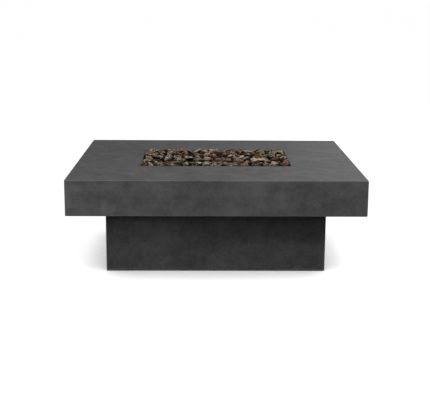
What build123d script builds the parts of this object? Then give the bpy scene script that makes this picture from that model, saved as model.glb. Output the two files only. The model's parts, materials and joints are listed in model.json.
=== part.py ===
"""Gas fire table: a cast concrete top with a burner well full of lava rock, on a hollow concrete base.

The burner train, the controls and an access door sit in the base and open at the back.
Millimetres. The origin is on the floor under the middle of the table, +X is to the right of someone
who stands in front, +Y points to the back and +Z up.
"""

import math
import os
import random

from build123d import *

# ---------------------------------------------------------------------------
# Driving dimensions
# ---------------------------------------------------------------------------
# Concrete castings
table_width = 1220
table_depth = 915
table_height = 428
apron_height = 150
overhang = 146
arris = 4  # radius of every cast outer edge
top_skin = 24
apron_wall = 22
base_wall = 18
glide_thickness = 4
gasket_thickness = 3

# Burner well and the media in it
opening_width = 652
opening_depth = 359
opening_arris = 2
well_wall = 20
ledge_reach = 14
ledge_thickness = 12
media_depth = 46
pan_depth = 45
sheet = 1.5  # stainless sheet of the pan, door, frame and vents
tray_gap = 8
flange_gap = 3

# Clearances
seat_gap = 0.3  # between pieces that rest on each other without a fastener
thread_gap = 0.15  # radial, between a fastener and its hole
running_gap = 0.06  # radial, between a turning piece and its bearing

# Pads under and over the base wall
pad_length = 60
pad_width = 14
pad_inset = 84  # from the end of the long wall to the middle of a pad

# Angle brackets that hold the top on the base
bracket_leg = 40
bracket_thickness = 4
bracket_length = 60
bracket_inset = 110
bolt_radius = 4
bolt_head_across = 13
bolt_head_height = 5.5
bolt_reach = 16

# Small round-head screws
screw_radius = 2
screw_head_radius = 4
screw_head_height = 2.4
screw_reach = 13
screw_socket_radius = 1.5
screw_socket_depth = 1.2

# Burner
burner_tube_radius = 9.5
burner_tube_wall = 1.2
burner_length = 520
burner_spread = 70  # from the middle line to each long tube
burner_lift = 22  # tube axis above the pan floor
burner_leg_radius = 4
burner_leg_inset = 40
port_radius = 1
port_pitch = 40
hub_radius = 16
nipple_radius = 10.65
nipple_bore = 8
nipple_drop = 36  # below the pan floor
nipple_engagement = 12
weep_radius = 4
weep_inset = 45
locknut_across = 32
locknut_thickness = 7

# Heat shield
shield_drop = 18
shield_thickness = 1.2
shield_margin = 24
shield_bore = 22
lead_slot_width = 64
lead_slot_depth = 29
stud_radius = 3
stud_spacer_radius = 5
stud_inset = 50
stud_nut_across = 10
stud_nut_thickness = 5

# Air mixer and its shutter
mixer_radius = 15
mixer_length = 50
mixer_throat = 7
mixer_flange_radius = 18
mixer_flange_thickness = 6
window_radius = 4.5
window_count = 4
shutter_wall = 2
shutter_height = 20
shutter_tab_reach = 9
shutter_tab_radius = 2

# Gas elbow, hose and tube
elbow_size = 20
elbow_drop = 16  # from the mixer's foot to the elbow's level axis
spigot_gap = 1
spigot_length = 10
gas_bore = 3
elbow_arm_radius = 6
elbow_arm_reach = 30
hose_radius = 7
hose_wall = 1.5
hose_drop_share = 0.584795  # of the way from the elbow's arm to the valve, where the hose comes down
hose_lean = 20  # of the hose towards the middle on its way down
hose_bend = 60
hose_end_bend = 30
hose_nut_across = 22
hose_nut_length = 14
supply_radius = 5
supply_wall = 1
supply_bend = 22

# Control panel at the back of the base
panel_inset = 202  # from the right end of the base to the middle of the panel
panel_z = 150
panel_width = 190
panel_height = 110
panel_thickness = 2
panel_corner = 6
panel_cut_width = 150
panel_cut_height = 76
panel_screw_inset = 10

# Valve, stem and knob
knob_offset = -38  # of the knob from the middle of the panel
valve_size = 34
valve_length = 50
bonnet_radius = 15
bonnet_length = 14
valve_screw_radius = 1.5
valve_screw_reach = 10
port_boss_radius = 9
port_boss_length = 6
valve_port_inset = 12  # of the gas ports from the back of the valve
magnet_radius = 9
magnet_length = 24
magnet_edge = 2
stem_radius = 4
stem_gap = 0.3
plunger_radius = 2.5
plunger_length = 37.5
plunger_overlap = 1  # the plunger's tail inside the magnet unit
collar_radius = 6.4
collar_thickness = 1.5
spring_pocket_radius = 7
spring_pocket_depth = 12
spring_radius = 5.6
spring_wire = 0.5
spring_turns = 4
push_travel = 4
travel_clear = 1.3  # left at the end of a push's travel
knob_skirt_radius = 22
knob_skirt_height = 8
knob_grip_radius = 17
knob_grip_height = 16
knob_flutes = 12
knob_flute_radius = 2.5
knob_bore_depth = 16
knob_skirt_edge = 3
knob_grip_edge = 1
pointer_width = 2
pointer_length = 11
pointer_inset = 2.5
pointer_depth = 0.8
bezel_radius = 30
bezel_thickness = 1.2
bezel_mark_radius = 26
bezel_mark_width = 1.6
bezel_marks = ((90, 4.5), (0, 8), (-90, 6))  # turn and length of the off, high and low marks
bezel_mark_depth = 0.5

# Push-button igniter
igniter_offset = 46
igniter_radius = 12.5
igniter_length = 76.5
igniter_bore = 9
igniter_end_wall = 4
igniter_neck_radius = 10
igniter_neck_reach = 5.5
igniter_nut_radius = 14
igniter_nut_thickness = 4
igniter_nut_edge = 1
button_edge = 1.2
button_radius = 7.5
button_gap = 0.3
button_flange_radius = 8.7
button_flange_thickness = 2
button_shoulder_depth = 5.5
button_travel = 4
battery_radius = 7.25
battery_length = 50.5
battery_pip_radius = 2.75
battery_pip_height = 1
igniter_spring_radius = 4.5
igniter_spring_turns = 5
terminal_radius = 1.6
terminal_length = 6

# Ignition group on the pan floor
ignition_x = 100
ignition_y = 44
ignition_pitch = 20  # between electrode and thermocouple
bracket_plate_width = 56
bracket_plate_depth = 24
bracket_plate_height = 34
insulator_radius = 3.5
insulator_length = 40
insulator_drop = 18
electrode_radius = 1
electrode_rise = 8
thermocouple_radius = 2.2
thermocouple_length = 44
ignition_lead_radius = 1.75
thermocouple_lead_radius = 1.25
lead_bend = 25
lead_entry_bend = 12
lead_drop = 24  # of the ignition lead's level run below the insulator
lead_step = 10  # between the two leads' level runs
lead_back = 45  # of the leads' rise from the back of what they leave

# Gas inlet
inlet_inset = 134  # from the right end of the base
inlet_z = 55
inlet_plate_size = 56
inlet_screw_inset = 7
inlet_hole_radius = 12
inlet_body_radius = 9
inlet_tail = 1  # of its body beyond the locknut
inlet_hex_across = 22
inlet_hex_length = 8
flare_radius = 7.94
flare_length = 14
flare_bore = 4
flare_lead = 2.5
inlet_nut_across = 28
inlet_nut_thickness = 7

# Access door
door_inset = 314  # from the left end of the base to the middle of the door
door_z = 140
door_clear_width = 360
door_clear_height = 180
frame_flange = 20
frame_hinge_flange = 46
cut_gap = 0.5  # between a sheet sleeve and the concrete round it
door_lap = 12
door_fold = 3.5  # depth of the folded edge of the door
door_stand = 0.5  # between the frame and the door's folded edge
hinge_pin_radius = 2.5
hinge_knuckle_radius = 4.5
hinge_height = 51
hinge_axis_out = 7  # hinge axis beyond the door's edge
hinge_stand = 5  # hinge axis beyond the frame's face
hinge_leaf_reach = 22  # of the frame's leaf from the pin
door_leaf_reach = 18  # of the door's leaf over the door
pin_head_thickness = 1.5
hinge_gap = 0.3
hinge_spread = 110
leaf_clear = 1
door_knob_radius = 9
door_knob_neck = 4.5
door_knob_reach = 18
door_knob_neck_reach = 8
door_knob_flare_reach = 12.5
door_knob_edge = 1.2
door_knob_inset = 26
catch_length = 40
catch_height = 11
catch_depth = 14
catch_gap = 0.5
strike_thickness = 1.5

# Side vents
vent_z = 140
vent_cut_width = 250
vent_cut_height = 90
vent_flange = 15
louvre_count = 6
louvre_angle = 35
louvre_depth = 12
louvre_root = 2  # of the flange inside the cut-out, where the blades join it

# Lava rock
rock_pitch = 44
rock_gap = 0.4
rock_seed = 11
rock_stand = 11  # of the highest stones above the table
rock_reach = 0.62  # of the longest half-width of a stone to the pitch
rock_least = 0.82  # of the shortest knob to the longest
rock_jitter = 0.16
rock_knobs = 7
lower_rock_pitch = 52
lower_rock_jitter = 0.1
lower_rock_knobs = 3
burner_clear = 0.5

# ---------------------------------------------------------------------------
# Levels and places worked out from the driving dimensions
# ---------------------------------------------------------------------------
skin_underside = table_height - top_skin
apron_bottom = table_height - apron_height
base_width = table_width - 2 * overhang
base_depth = table_depth - 2 * overhang
base_back = base_depth / 2
base_inner_back = base_back - base_wall
base_inner_side = base_width / 2 - base_wall
base_top = skin_underside - gasket_thickness
flange_top = table_height - media_depth
ledge_top = flange_top - sheet
ledge_bottom = ledge_top - ledge_thickness
pan_floor = flange_top - pan_depth
pan_underside = pan_floor - sheet
tray_width = opening_width - 2 * (ledge_reach + tray_gap + sheet)
tray_depth = opening_depth - 2 * (ledge_reach + tray_gap + sheet)

burner_axis = pan_floor + burner_lift
nipple_top = pan_floor + nipple_engagement
nipple_bottom = pan_underside - nipple_drop
shield_top = pan_underside - shield_drop
mixer_top = nipple_bottom + nipple_engagement
mixer_bottom = mixer_top - mixer_length
shutter_bottom = mixer_bottom + mixer_flange_thickness + seat_gap
window_z = shutter_bottom + shutter_height / 2
elbow_axis = mixer_bottom - elbow_drop

panel_x = base_width / 2 - panel_inset
inlet_x = base_width / 2 - inlet_inset
door_x = door_inset - base_width / 2
panel_face = base_back + panel_thickness
knob_x = panel_x + knob_offset
igniter_x = panel_x + igniter_offset
bonnet_back = base_back - bonnet_length
valve_back = bonnet_back - valve_length
valve_port_y = valve_back + valve_port_inset
plunger_back = valve_back - plunger_overlap
plunger_front = plunger_back + plunger_length
stem_back = plunger_front + seat_gap
stem_bore_depth = base_back - stem_back + push_travel + travel_clear
magnet_room = plunger_overlap + push_travel + travel_clear
knob_back = panel_face + bezel_thickness + push_travel + travel_clear
knob_front = knob_back + knob_skirt_height + knob_grip_height
stem_front = knob_back + knob_bore_depth - seat_gap
collar_front = base_back - seat_gap
collar_back = collar_front - collar_thickness
spring_seat = base_back - spring_pocket_depth

igniter_back = base_back - igniter_length
igniter_neck_front = base_back + igniter_neck_reach
igniter_floor = igniter_back + igniter_end_wall
button_shoulder = base_back - button_shoulder_depth
button_flange_front = button_shoulder - seat_gap
button_back = button_flange_front - button_flange_thickness
button_front = igniter_neck_front + button_travel + travel_clear
battery_back = igniter_floor + seat_gap
battery_front = battery_back + battery_length

insulator_bottom = pan_floor - insulator_drop
electrode_x = ignition_x - ignition_pitch / 2
thermocouple_x = ignition_x + ignition_pitch / 2

door_left = door_x - door_clear_width / 2
door_right = door_x + door_clear_width / 2
frame_face = base_back + sheet
door_outer = frame_face + door_stand + door_fold
door_inner = door_outer - sheet
catch_face = door_inner - strike_thickness - catch_gap
hinge_x = door_left - door_lap - hinge_axis_out
hinge_y = frame_face + hinge_stand


# ---------------------------------------------------------------------------
# Helpers
# ---------------------------------------------------------------------------
def back_plane(y):
    """A plane across the table at depth y: sketch x is +X, sketch y is +Z, normal to the front."""
    return Plane.XZ.offset(-y)


def side_plane(x):
    """A plane along the table at x: sketch x is +Y, sketch y is +Z, normal to the right."""
    return Plane.YZ.offset(x)


def round_bar(plane, spots, radius, length, bore=0, mode=Mode.ADD):
    """Bars, or holes with Mode.SUBTRACT, of one radius that start on a plane and run along its normal."""
    with BuildSketch(plane) as section:
        with Locations(*spots):
            Circle(radius)
            if bore:
                Circle(bore, mode=Mode.SUBTRACT)
    extrude(section.sketch, amount=length, mode=mode)


def hex_bar(plane, spots, across, length, bore=0):
    """Hexagonal nuts or heads, measured across their flats."""
    with BuildSketch(plane) as section:
        with Locations(*spots):
            RegularPolygon(across / 2, 6, major_radius=False)
            if bore:
                Circle(bore, mode=Mode.SUBTRACT)
    extrude(section.sketch, amount=length)


def round_head_screws(plane, spots):
    """Round-head screws: the plane is the face the heads sit on, and its normal points into the work."""
    round_bar(plane, spots, screw_head_radius, -screw_head_height)
    round_bar(plane, spots, screw_radius, screw_reach)
    with BuildSketch(plane.offset(-screw_head_height)) as socket:
        with Locations(*spots):
            RegularPolygon(screw_socket_radius, 6)
    extrude(socket.sketch, amount=screw_socket_depth, mode=Mode.SUBTRACT)


def flat_head(plane, spots, radius, thickness, mode=Mode.ADD):
    """A countersunk head, or its seat with Mode.SUBTRACT, through a sheet whose face lies on the plane."""
    with BuildSketch(plane) as rim:
        with Locations(*spots):
            Circle(radius + thickness)
    extrude(rim.sketch, amount=thickness, taper=45, mode=mode)


def screw_holes(plane, spots):
    """Blind holes for round-head screws."""
    round_bar(plane, spots, screw_radius + thread_gap, screw_reach + 1, mode=Mode.SUBTRACT)


def corners(width, height, centre=(0, 0)):
    """The four corners of a rectangle."""
    return [
        (centre[0] + x, centre[1] + z)
        for x in (-width / 2, width / 2)
        for z in (-height / 2, height / 2)
    ]


def pipe(points, bends, radius, bore=0):
    """A tube along straight runs joined by arcs."""
    with BuildLine() as route:
        FilletPolyline(*points, radius=bends)
    with BuildSketch(Plane(origin=route.line @ 0, z_dir=route.line % 0)) as section:
        Circle(radius)
        if bore:
            Circle(bore, mode=Mode.SUBTRACT)
    sweep(section.sketch, path=route.line)


def coil(seat, direction, length, radius, wire, turns):
    """A compression spring that starts at a seat point and runs along a direction."""
    with BuildLine() as helix:
        Helix(
            pitch=(length - 2 * wire) / turns,
            height=length - 2 * wire,
            radius=radius,
            center=Vector(seat) + Vector(direction) * wire,
            direction=direction,
        )
    with BuildSketch(Plane(origin=helix.line @ 0, z_dir=helix.line % 0)) as section:
        Circle(wire)
    sweep(section.sketch, path=helix.line, is_frenet=True)


# ---------------------------------------------------------------------------
# Places of fasteners that two or more pieces share
# ---------------------------------------------------------------------------
panel_screw_spots = corners(
    panel_width - 2 * panel_screw_inset,
    panel_height - 2 * panel_screw_inset,
    (panel_x, panel_z),
)
inlet_screw_pitch = inlet_plate_size - 2 * inlet_screw_inset
inlet_screw_spots = corners(inlet_screw_pitch, inlet_screw_pitch, (inlet_x, inlet_z))
frame_screw_spots = [
    (door_x + along, door_z + across * (door_clear_height + frame_flange) / 2)
    for along in (-door_clear_width / 2, door_clear_width / 2)
    for across in (-1, 1)
]
vent_screw_spots = corners(
    vent_cut_width + vent_flange, vent_cut_height + vent_flange, (0, vent_z)
)
bracket_y = base_depth / 2 - bracket_inset
bracket_bolt_x = base_inner_side - bracket_leg / 2 - bracket_thickness / 2
bolt_spots = [(sx * bracket_bolt_x, sy * bracket_y) for sx in (-1, 1) for sy in (-1, 1)]
bracket_screw_z = skin_underside - bracket_leg / 2 - bracket_thickness / 2

valve_screw_offset = (bonnet_radius + spring_pocket_radius) / 2
valve_screw_spots = [
    (knob_x, panel_z - valve_screw_offset),
    (knob_x, panel_z + valve_screw_offset),
]

pad_end = base_width / 2 - pad_inset
pad_row = base_depth / 2 - base_wall / 2
pad_side = base_width / 2 - base_wall / 2
inlet_tail_y = base_inner_back - inlet_nut_thickness - inlet_tail

stud_x = (tray_width - 2 * stud_inset) / 2
stud_y = (tray_depth - 2 * stud_inset) / 2
stud_spots = [(sx * stud_x, sy * stud_y) for sx in (-1, 1) for sy in (-1, 1)]

# ---------------------------------------------------------------------------
# Concrete castings and what joins them
# ---------------------------------------------------------------------------
with BuildPart() as table_top:
    with BuildSketch(Plane.XY.offset(apron_bottom)):
        Rectangle(table_width, table_depth)
    extrude(amount=apron_height)
    fillet(table_top.edges(), radius=arris)
    with BuildSketch(Plane.XY.offset(apron_bottom)):
        Rectangle(table_width - 2 * apron_wall, table_depth - 2 * apron_wall)
    extrude(amount=apron_height - top_skin, mode=Mode.SUBTRACT)
    with BuildSketch(Plane.XY.offset(ledge_bottom)):
        Rectangle(opening_width + 2 * well_wall, opening_depth + 2 * well_wall)
    extrude(amount=skin_underside - ledge_bottom)
    with BuildSketch(Plane.XY.offset(ledge_top)):
        Rectangle(opening_width, opening_depth)
    extrude(amount=table_height - ledge_top, mode=Mode.SUBTRACT)
    with BuildSketch(Plane.XY.offset(ledge_bottom)):
        Rectangle(opening_width - 2 * ledge_reach, opening_depth - 2 * ledge_reach)
    extrude(amount=ledge_thickness, mode=Mode.SUBTRACT)
    rim = table_top.faces().sort_by(Axis.Z)[-1].inner_wires()[0]
    fillet(rim.edges(), radius=opening_arris)
    round_bar(
        Plane.XY.offset(skin_underside),
        bolt_spots,
        bolt_radius + thread_gap,
        bolt_reach + 1 - bracket_thickness,
        mode=Mode.SUBTRACT,
    )

with BuildPart() as base_shell:
    with BuildSketch(Plane.XY.offset(glide_thickness)):
        RectangleRounded(base_width, base_depth, arris)
        Rectangle(
            base_width - 2 * base_wall, base_depth - 2 * base_wall, mode=Mode.SUBTRACT
        )
    extrude(amount=base_top - glide_thickness)
    with BuildSketch(back_plane(base_back)):
        with Locations((door_x, door_z)):
            Rectangle(
                door_clear_width + 2 * (sheet + cut_gap),
                door_clear_height + 2 * (sheet + cut_gap),
            )
        with Locations((panel_x, panel_z)):
            Rectangle(panel_cut_width, panel_cut_height)
        with Locations((inlet_x, inlet_z)):
            Circle(inlet_hole_radius)
    extrude(amount=base_wall, mode=Mode.SUBTRACT)
    with BuildSketch(side_plane(-base_width / 2)):
        with Locations((0, vent_z)):
            Rectangle(vent_cut_width, vent_cut_height)
    extrude(amount=base_width, mode=Mode.SUBTRACT)
    screw_holes(
        back_plane(base_back), panel_screw_spots + inlet_screw_spots + frame_screw_spots
    )
    screw_holes(side_plane(-base_width / 2), vent_screw_spots)
    round_bar(
        side_plane(base_width / 2),
        vent_screw_spots,
        screw_radius + thread_gap,
        -screw_reach - 1,
        mode=Mode.SUBTRACT,
    )
    for side in (-1, 1):
        round_bar(
            side_plane(side * base_inner_side),
            [(-bracket_y, bracket_screw_z), (bracket_y, bracket_screw_z)],
            bolt_radius + thread_gap,
            side * (base_wall - bracket_thickness),
            mode=Mode.SUBTRACT,
        )


def wall_pads(level, thickness):
    """Pads along the middle of the base wall: four on the long walls and one on each short wall."""
    with BuildSketch(Plane.XY.offset(level)) as outline:
        with GridLocations(2 * pad_end, 2 * pad_row, 2, 2):
            Rectangle(pad_length, pad_width)
        with GridLocations(2 * pad_side, 0, 2, 1):
            Rectangle(pad_width, pad_length)
    extrude(outline.sketch, amount=thickness)


with BuildPart() as rubber_glides:
    wall_pads(0, glide_thickness)

with BuildPart() as setting_pads:
    wall_pads(base_top, gasket_thickness)

with BuildPart() as top_brackets:
    leg_foot = skin_underside - bracket_leg
    leg_tip = base_inner_side - bracket_leg
    with BuildSketch(back_plane(bracket_y - bracket_length / 2)):
        with BuildLine():
            Polyline(
                (base_inner_side, leg_foot),
                (base_inner_side, skin_underside),
                (leg_tip, skin_underside),
                (leg_tip, skin_underside - bracket_thickness),
                (
                    base_inner_side - bracket_thickness,
                    skin_underside - bracket_thickness,
                ),
                (base_inner_side - bracket_thickness, leg_foot),
                close=True,
            )
        make_face()
    extrude(amount=-bracket_length)
    round_bar(
        Plane.XY.offset(skin_underside),
        [(bracket_bolt_x, bracket_y)],
        bolt_radius + thread_gap,
        -bracket_thickness,
        mode=Mode.SUBTRACT,
    )
    round_bar(
        side_plane(base_inner_side),
        [(bracket_y, bracket_screw_z)],
        bolt_radius + thread_gap,
        -bracket_thickness,
        mode=Mode.SUBTRACT,
    )
    mirror(about=Plane.YZ)
    mirror(about=Plane.XZ)

with BuildPart() as top_bolts:
    bolt_seat = Plane.XY.offset(skin_underside - bracket_thickness)
    hex_bar(bolt_seat, bolt_spots, bolt_head_across, -bolt_head_height)
    round_bar(bolt_seat, bolt_spots, bolt_radius, bolt_reach)

with BuildPart() as bracket_bolts:
    bolt_pair = [(-bracket_y, bracket_screw_z), (bracket_y, bracket_screw_z)]
    for side in (-1, 1):
        bolt_seat = side_plane(side * (base_inner_side - bracket_thickness))
        hex_bar(bolt_seat, bolt_pair, bolt_head_across, -side * bolt_head_height)
        round_bar(bolt_seat, bolt_pair, bolt_radius, side * (base_wall - 1))

# ---------------------------------------------------------------------------
# Burner pan, burner and heat shield
# ---------------------------------------------------------------------------
with BuildPart() as burner_pan:
    with BuildSketch(Plane.XY.offset(pan_underside)):
        Rectangle(tray_width + 2 * sheet, tray_depth + 2 * sheet)
    extrude(amount=pan_depth + sheet)
    with BuildSketch(Plane.XY.offset(ledge_top)):
        Rectangle(opening_width - 2 * flange_gap, opening_depth - 2 * flange_gap)
    extrude(amount=sheet)
    with BuildSketch(Plane.XY.offset(pan_floor)):
        Rectangle(tray_width, tray_depth)
    extrude(amount=pan_depth, mode=Mode.SUBTRACT)
    with BuildSketch(Plane.XY.offset(pan_underside)):
        Circle(nipple_radius + thread_gap)
        with GridLocations(
            tray_width - 2 * weep_inset, tray_depth - 2 * weep_inset, 2, 2
        ):
            Circle(weep_radius)
        with Locations((electrode_x, ignition_y)):
            Circle(insulator_radius + thread_gap)
        with Locations((thermocouple_x, ignition_y)):
            Circle(thermocouple_radius + thread_gap)
    extrude(amount=sheet, mode=Mode.SUBTRACT)

with BuildPart() as burner:
    long_rows = [(-burner_spread, burner_axis), (burner_spread, burner_axis)]
    round_bar(
        side_plane(-burner_length / 2), long_rows, burner_tube_radius, burner_length
    )
    round_bar(
        back_plane(burner_spread),
        [(0, burner_axis)],
        burner_tube_radius,
        2 * burner_spread,
    )
    round_bar(
        Plane.XY.offset(pan_floor), [(0, 0)], hub_radius, burner_lift
    )
    leg_x = burner_length / 2 - burner_leg_inset
    leg_spots = [
        (sx * leg_x, sy * burner_spread) for sx in (-1, 1) for sy in (-1, 1)
    ]
    leg_height = burner_lift - burner_tube_radius + burner_tube_wall / 2
    round_bar(Plane.XY.offset(pan_floor), leg_spots, burner_leg_radius, leg_height)
    tube_bore = burner_tube_radius - burner_tube_wall
    round_bar(
        side_plane(-burner_length / 2 + burner_tube_wall),
        long_rows,
        tube_bore,
        burner_length - 2 * burner_tube_wall,
        mode=Mode.SUBTRACT,
    )
    round_bar(
        back_plane(burner_spread),
        [(0, burner_axis)],
        tube_bore,
        2 * burner_spread,
        mode=Mode.SUBTRACT,
    )
    round_bar(
        Plane.XY.offset(pan_floor),
        [(0, 0)],
        nipple_radius + thread_gap,
        nipple_engagement + seat_gap,
        mode=Mode.SUBTRACT,
    )
    round_bar(
        Plane.XY.offset(pan_floor),
        [(0, 0)],
        nipple_bore,
        burner_lift,
        mode=Mode.SUBTRACT,
    )
    port_count = int((burner_length - 2 * burner_leg_inset) / port_pitch)
    with BuildSketch(Plane.XY.offset(burner_axis)):
        with GridLocations(port_pitch, 2 * burner_spread, port_count, 2):
            Circle(port_radius)
    extrude(amount=burner_tube_radius + 1, mode=Mode.SUBTRACT)

with BuildPart() as burner_nipple:
    round_bar(
        Plane.XY.offset(nipple_bottom),
        [(0, 0)],
        nipple_radius,
        nipple_top - nipple_bottom,
        bore=nipple_bore,
    )

with BuildPart() as pan_locknut:
    hex_bar(
        Plane.XY.offset(pan_underside - locknut_thickness),
        [(0, 0)],
        locknut_across,
        locknut_thickness,
        bore=nipple_radius + thread_gap,
    )

with BuildPart() as heat_shield:
    with BuildSketch(Plane.XY.offset(shield_top - shield_thickness)):
        Rectangle(tray_width - 2 * shield_margin, tray_depth - 2 * shield_margin)
        Circle(shield_bore, mode=Mode.SUBTRACT)
        with Locations((ignition_x, ignition_y)):
            Rectangle(lead_slot_width, lead_slot_depth, mode=Mode.SUBTRACT)
        with Locations(*stud_spots):
            Circle(stud_radius + thread_gap, mode=Mode.SUBTRACT)
    extrude(amount=shield_thickness)

with BuildPart() as shield_studs:
    round_bar(
        Plane.XY.offset(shield_top),
        stud_spots,
        stud_spacer_radius,
        pan_underside - shield_top,
    )
    stud_tail = shield_thickness + stud_nut_thickness + 1
    round_bar(Plane.XY.offset(shield_top), stud_spots, stud_radius, -stud_tail)

with BuildPart() as shield_nuts:
    hex_bar(
        Plane.XY.offset(shield_top - shield_thickness),
        stud_spots,
        stud_nut_across,
        -stud_nut_thickness,
        bore=stud_radius + thread_gap,
    )

# ---------------------------------------------------------------------------
# Air mixer, its shutter and the gas elbow
# ---------------------------------------------------------------------------
with BuildPart() as air_mixer:
    round_bar(Plane.XY.offset(mixer_bottom), [(0, 0)], mixer_radius, mixer_length)
    round_bar(
        Plane.XY.offset(mixer_bottom),
        [(0, 0)],
        mixer_flange_radius,
        mixer_flange_thickness,
    )
    round_bar(
        Plane.XY.offset(mixer_bottom),
        [(0, 0)],
        mixer_throat,
        mixer_length,
        mode=Mode.SUBTRACT,
    )
    round_bar(
        Plane.XY.offset(mixer_top),
        [(0, 0)],
        nipple_radius + thread_gap,
        -nipple_engagement,
        mode=Mode.SUBTRACT,
    )
    with PolarLocations(0, window_count):
        with Locations((0, 0, window_z)):
            Cylinder(
                window_radius,
                mixer_radius + 1,
                rotation=(0, 90, 0),
                align=(Align.CENTER, Align.CENTER, Align.MIN),
                mode=Mode.SUBTRACT,
            )

with BuildPart() as air_shutter:
    shutter_bore = mixer_radius + running_gap
    shutter_radius = shutter_bore + shutter_wall
    round_bar(
        Plane.XY.offset(shutter_bottom),
        [(0, 0)],
        shutter_radius,
        shutter_height,
        bore=shutter_bore,
    )
    with PolarLocations(0, window_count):
        with Locations((0, 0, window_z)):
            Cylinder(
                window_radius,
                shutter_radius + 1,
                rotation=(0, 90, 0),
                align=(Align.CENTER, Align.CENTER, Align.MIN),
                mode=Mode.SUBTRACT,
            )
    tab_angle = 180 / window_count
    with Locations(Location((0, 0, window_z), (0, 0, tab_angle))):
        with Locations((shutter_radius - shutter_wall / 2, 0, 0)):
            Cylinder(
                shutter_tab_radius,
                shutter_tab_reach,
                rotation=(0, 90, 0),
                align=(Align.CENTER, Align.CENTER, Align.MIN),
            )

with BuildPart() as orifice_elbow:
    with Locations((0, 0, elbow_axis)):
        Box(elbow_size, elbow_size, elbow_size)
    fillet(orifice_elbow.edges().filter_by(Axis.Z), radius=elbow_size / 6)
    collar_height = elbow_drop - elbow_size / 2
    collar_base = Plane.XY.offset(elbow_axis + elbow_size / 2)
    round_bar(collar_base, [(0, 0)], elbow_size / 2, collar_height)
    round_bar(
        collar_base,
        [(0, 0)],
        mixer_throat - spigot_gap,
        collar_height + spigot_length,
    )
    elbow_rows = [(0, elbow_axis)]
    round_bar(side_plane(0), elbow_rows, elbow_arm_radius, elbow_arm_reach)
    round_bar(
        side_plane(0), elbow_rows, gas_bore, elbow_arm_reach, mode=Mode.SUBTRACT
    )
    round_bar(
        Plane.XY.offset(elbow_axis),
        [(0, 0)],
        gas_bore,
        elbow_drop + spigot_length,
        mode=Mode.SUBTRACT,
    )

# ---------------------------------------------------------------------------
# Gas valve, its stem and the control knob
# ---------------------------------------------------------------------------
knob_axis = [(knob_x, panel_z)]

with BuildPart() as gas_valve:
    with BuildSketch(back_plane(bonnet_back)):
        with Locations(*knob_axis):
            Rectangle(valve_size, valve_size)
    extrude(amount=valve_length)
    fillet(gas_valve.edges().filter_by(Axis.Y), radius=valve_size / 8)
    round_bar(back_plane(base_back), knob_axis, bonnet_radius, bonnet_length)
    outlet_rows = [(valve_port_y, panel_z)]
    boss_length = valve_size / 2 + port_boss_length
    round_bar(side_plane(knob_x), outlet_rows, port_boss_radius, -boss_length)
    inlet_rows = [(knob_x, valve_port_y)]
    round_bar(Plane.XY.offset(panel_z), inlet_rows, port_boss_radius, -boss_length)
    round_bar(
        side_plane(knob_x), outlet_rows, gas_bore, -boss_length, mode=Mode.SUBTRACT
    )
    round_bar(
        Plane.XY.offset(panel_z), inlet_rows, gas_bore, -boss_length, mode=Mode.SUBTRACT
    )
    round_bar(
        back_plane(base_back),
        knob_axis,
        stem_radius + stem_gap,
        stem_bore_depth,
        mode=Mode.SUBTRACT,
    )
    round_bar(
        back_plane(base_back),
        knob_axis,
        spring_pocket_radius,
        spring_pocket_depth,
        mode=Mode.SUBTRACT,
    )
    round_bar(
        back_plane(base_back),
        knob_axis,
        plunger_radius + stem_gap,
        bonnet_length + valve_length,
        mode=Mode.SUBTRACT,
    )
    round_bar(
        back_plane(base_back),
        valve_screw_spots,
        valve_screw_radius + thread_gap,
        valve_screw_reach,
        mode=Mode.SUBTRACT,
    )

with BuildPart() as magnet_unit:
    round_bar(back_plane(valve_back), knob_axis, magnet_radius, magnet_length)
    round_bar(
        back_plane(valve_back),
        knob_axis,
        plunger_radius + stem_gap,
        magnet_room,
        mode=Mode.SUBTRACT,
    )
    fillet(
        magnet_unit.edges().filter_by(GeomType.CIRCLE).sort_by(Axis.Y)[0],
        radius=magnet_edge,
    )

with BuildPart() as valve_plunger:
    round_bar(back_plane(plunger_front), knob_axis, plunger_radius, plunger_length)

with BuildPart() as valve_stem:
    round_bar(
        back_plane(stem_front), knob_axis, stem_radius, stem_front - stem_back
    )
    round_bar(back_plane(collar_front), knob_axis, collar_radius, collar_thickness)

with BuildPart() as stem_spring:
    spring_start = (knob_x, spring_seat + seat_gap, panel_z)
    spring_length = collar_back - spring_seat - 2 * seat_gap
    coil(
        spring_start,
        (0, 1, 0),
        spring_length,
        spring_radius,
        spring_wire,
        spring_turns,
    )

with BuildPart() as control_knob:
    round_bar(back_plane(knob_back), knob_axis, knob_skirt_radius, -knob_skirt_height)
    grip_base = back_plane(knob_back + knob_skirt_height)
    with BuildSketch(grip_base):
        with Locations(*knob_axis):
            Circle(knob_grip_radius)
            with PolarLocations(knob_grip_radius, knob_flutes):
                Circle(knob_flute_radius, mode=Mode.SUBTRACT)
    extrude(amount=-knob_grip_height)
    knob_rims = control_knob.edges().filter_by(GeomType.CIRCLE)
    skirt_rim = knob_rims.filter_by(lambda e: e.radius == knob_skirt_radius)
    fillet(skirt_rim.sort_by(Axis.Y)[-1], radius=knob_skirt_edge)
    fillet(control_knob.faces().sort_by(Axis.Y)[-1].edges(), radius=knob_grip_edge)
    with BuildSketch(back_plane(knob_front)):
        pointer_middle = knob_grip_radius - pointer_inset - pointer_length / 2
        with Locations((knob_x, panel_z + pointer_middle)):
            Rectangle(pointer_width, pointer_length)
    extrude(amount=pointer_depth, mode=Mode.SUBTRACT)
    round_bar(
        back_plane(knob_back),
        knob_axis,
        stem_radius + running_gap,
        -knob_bore_depth,
        mode=Mode.SUBTRACT,
    )

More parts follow.
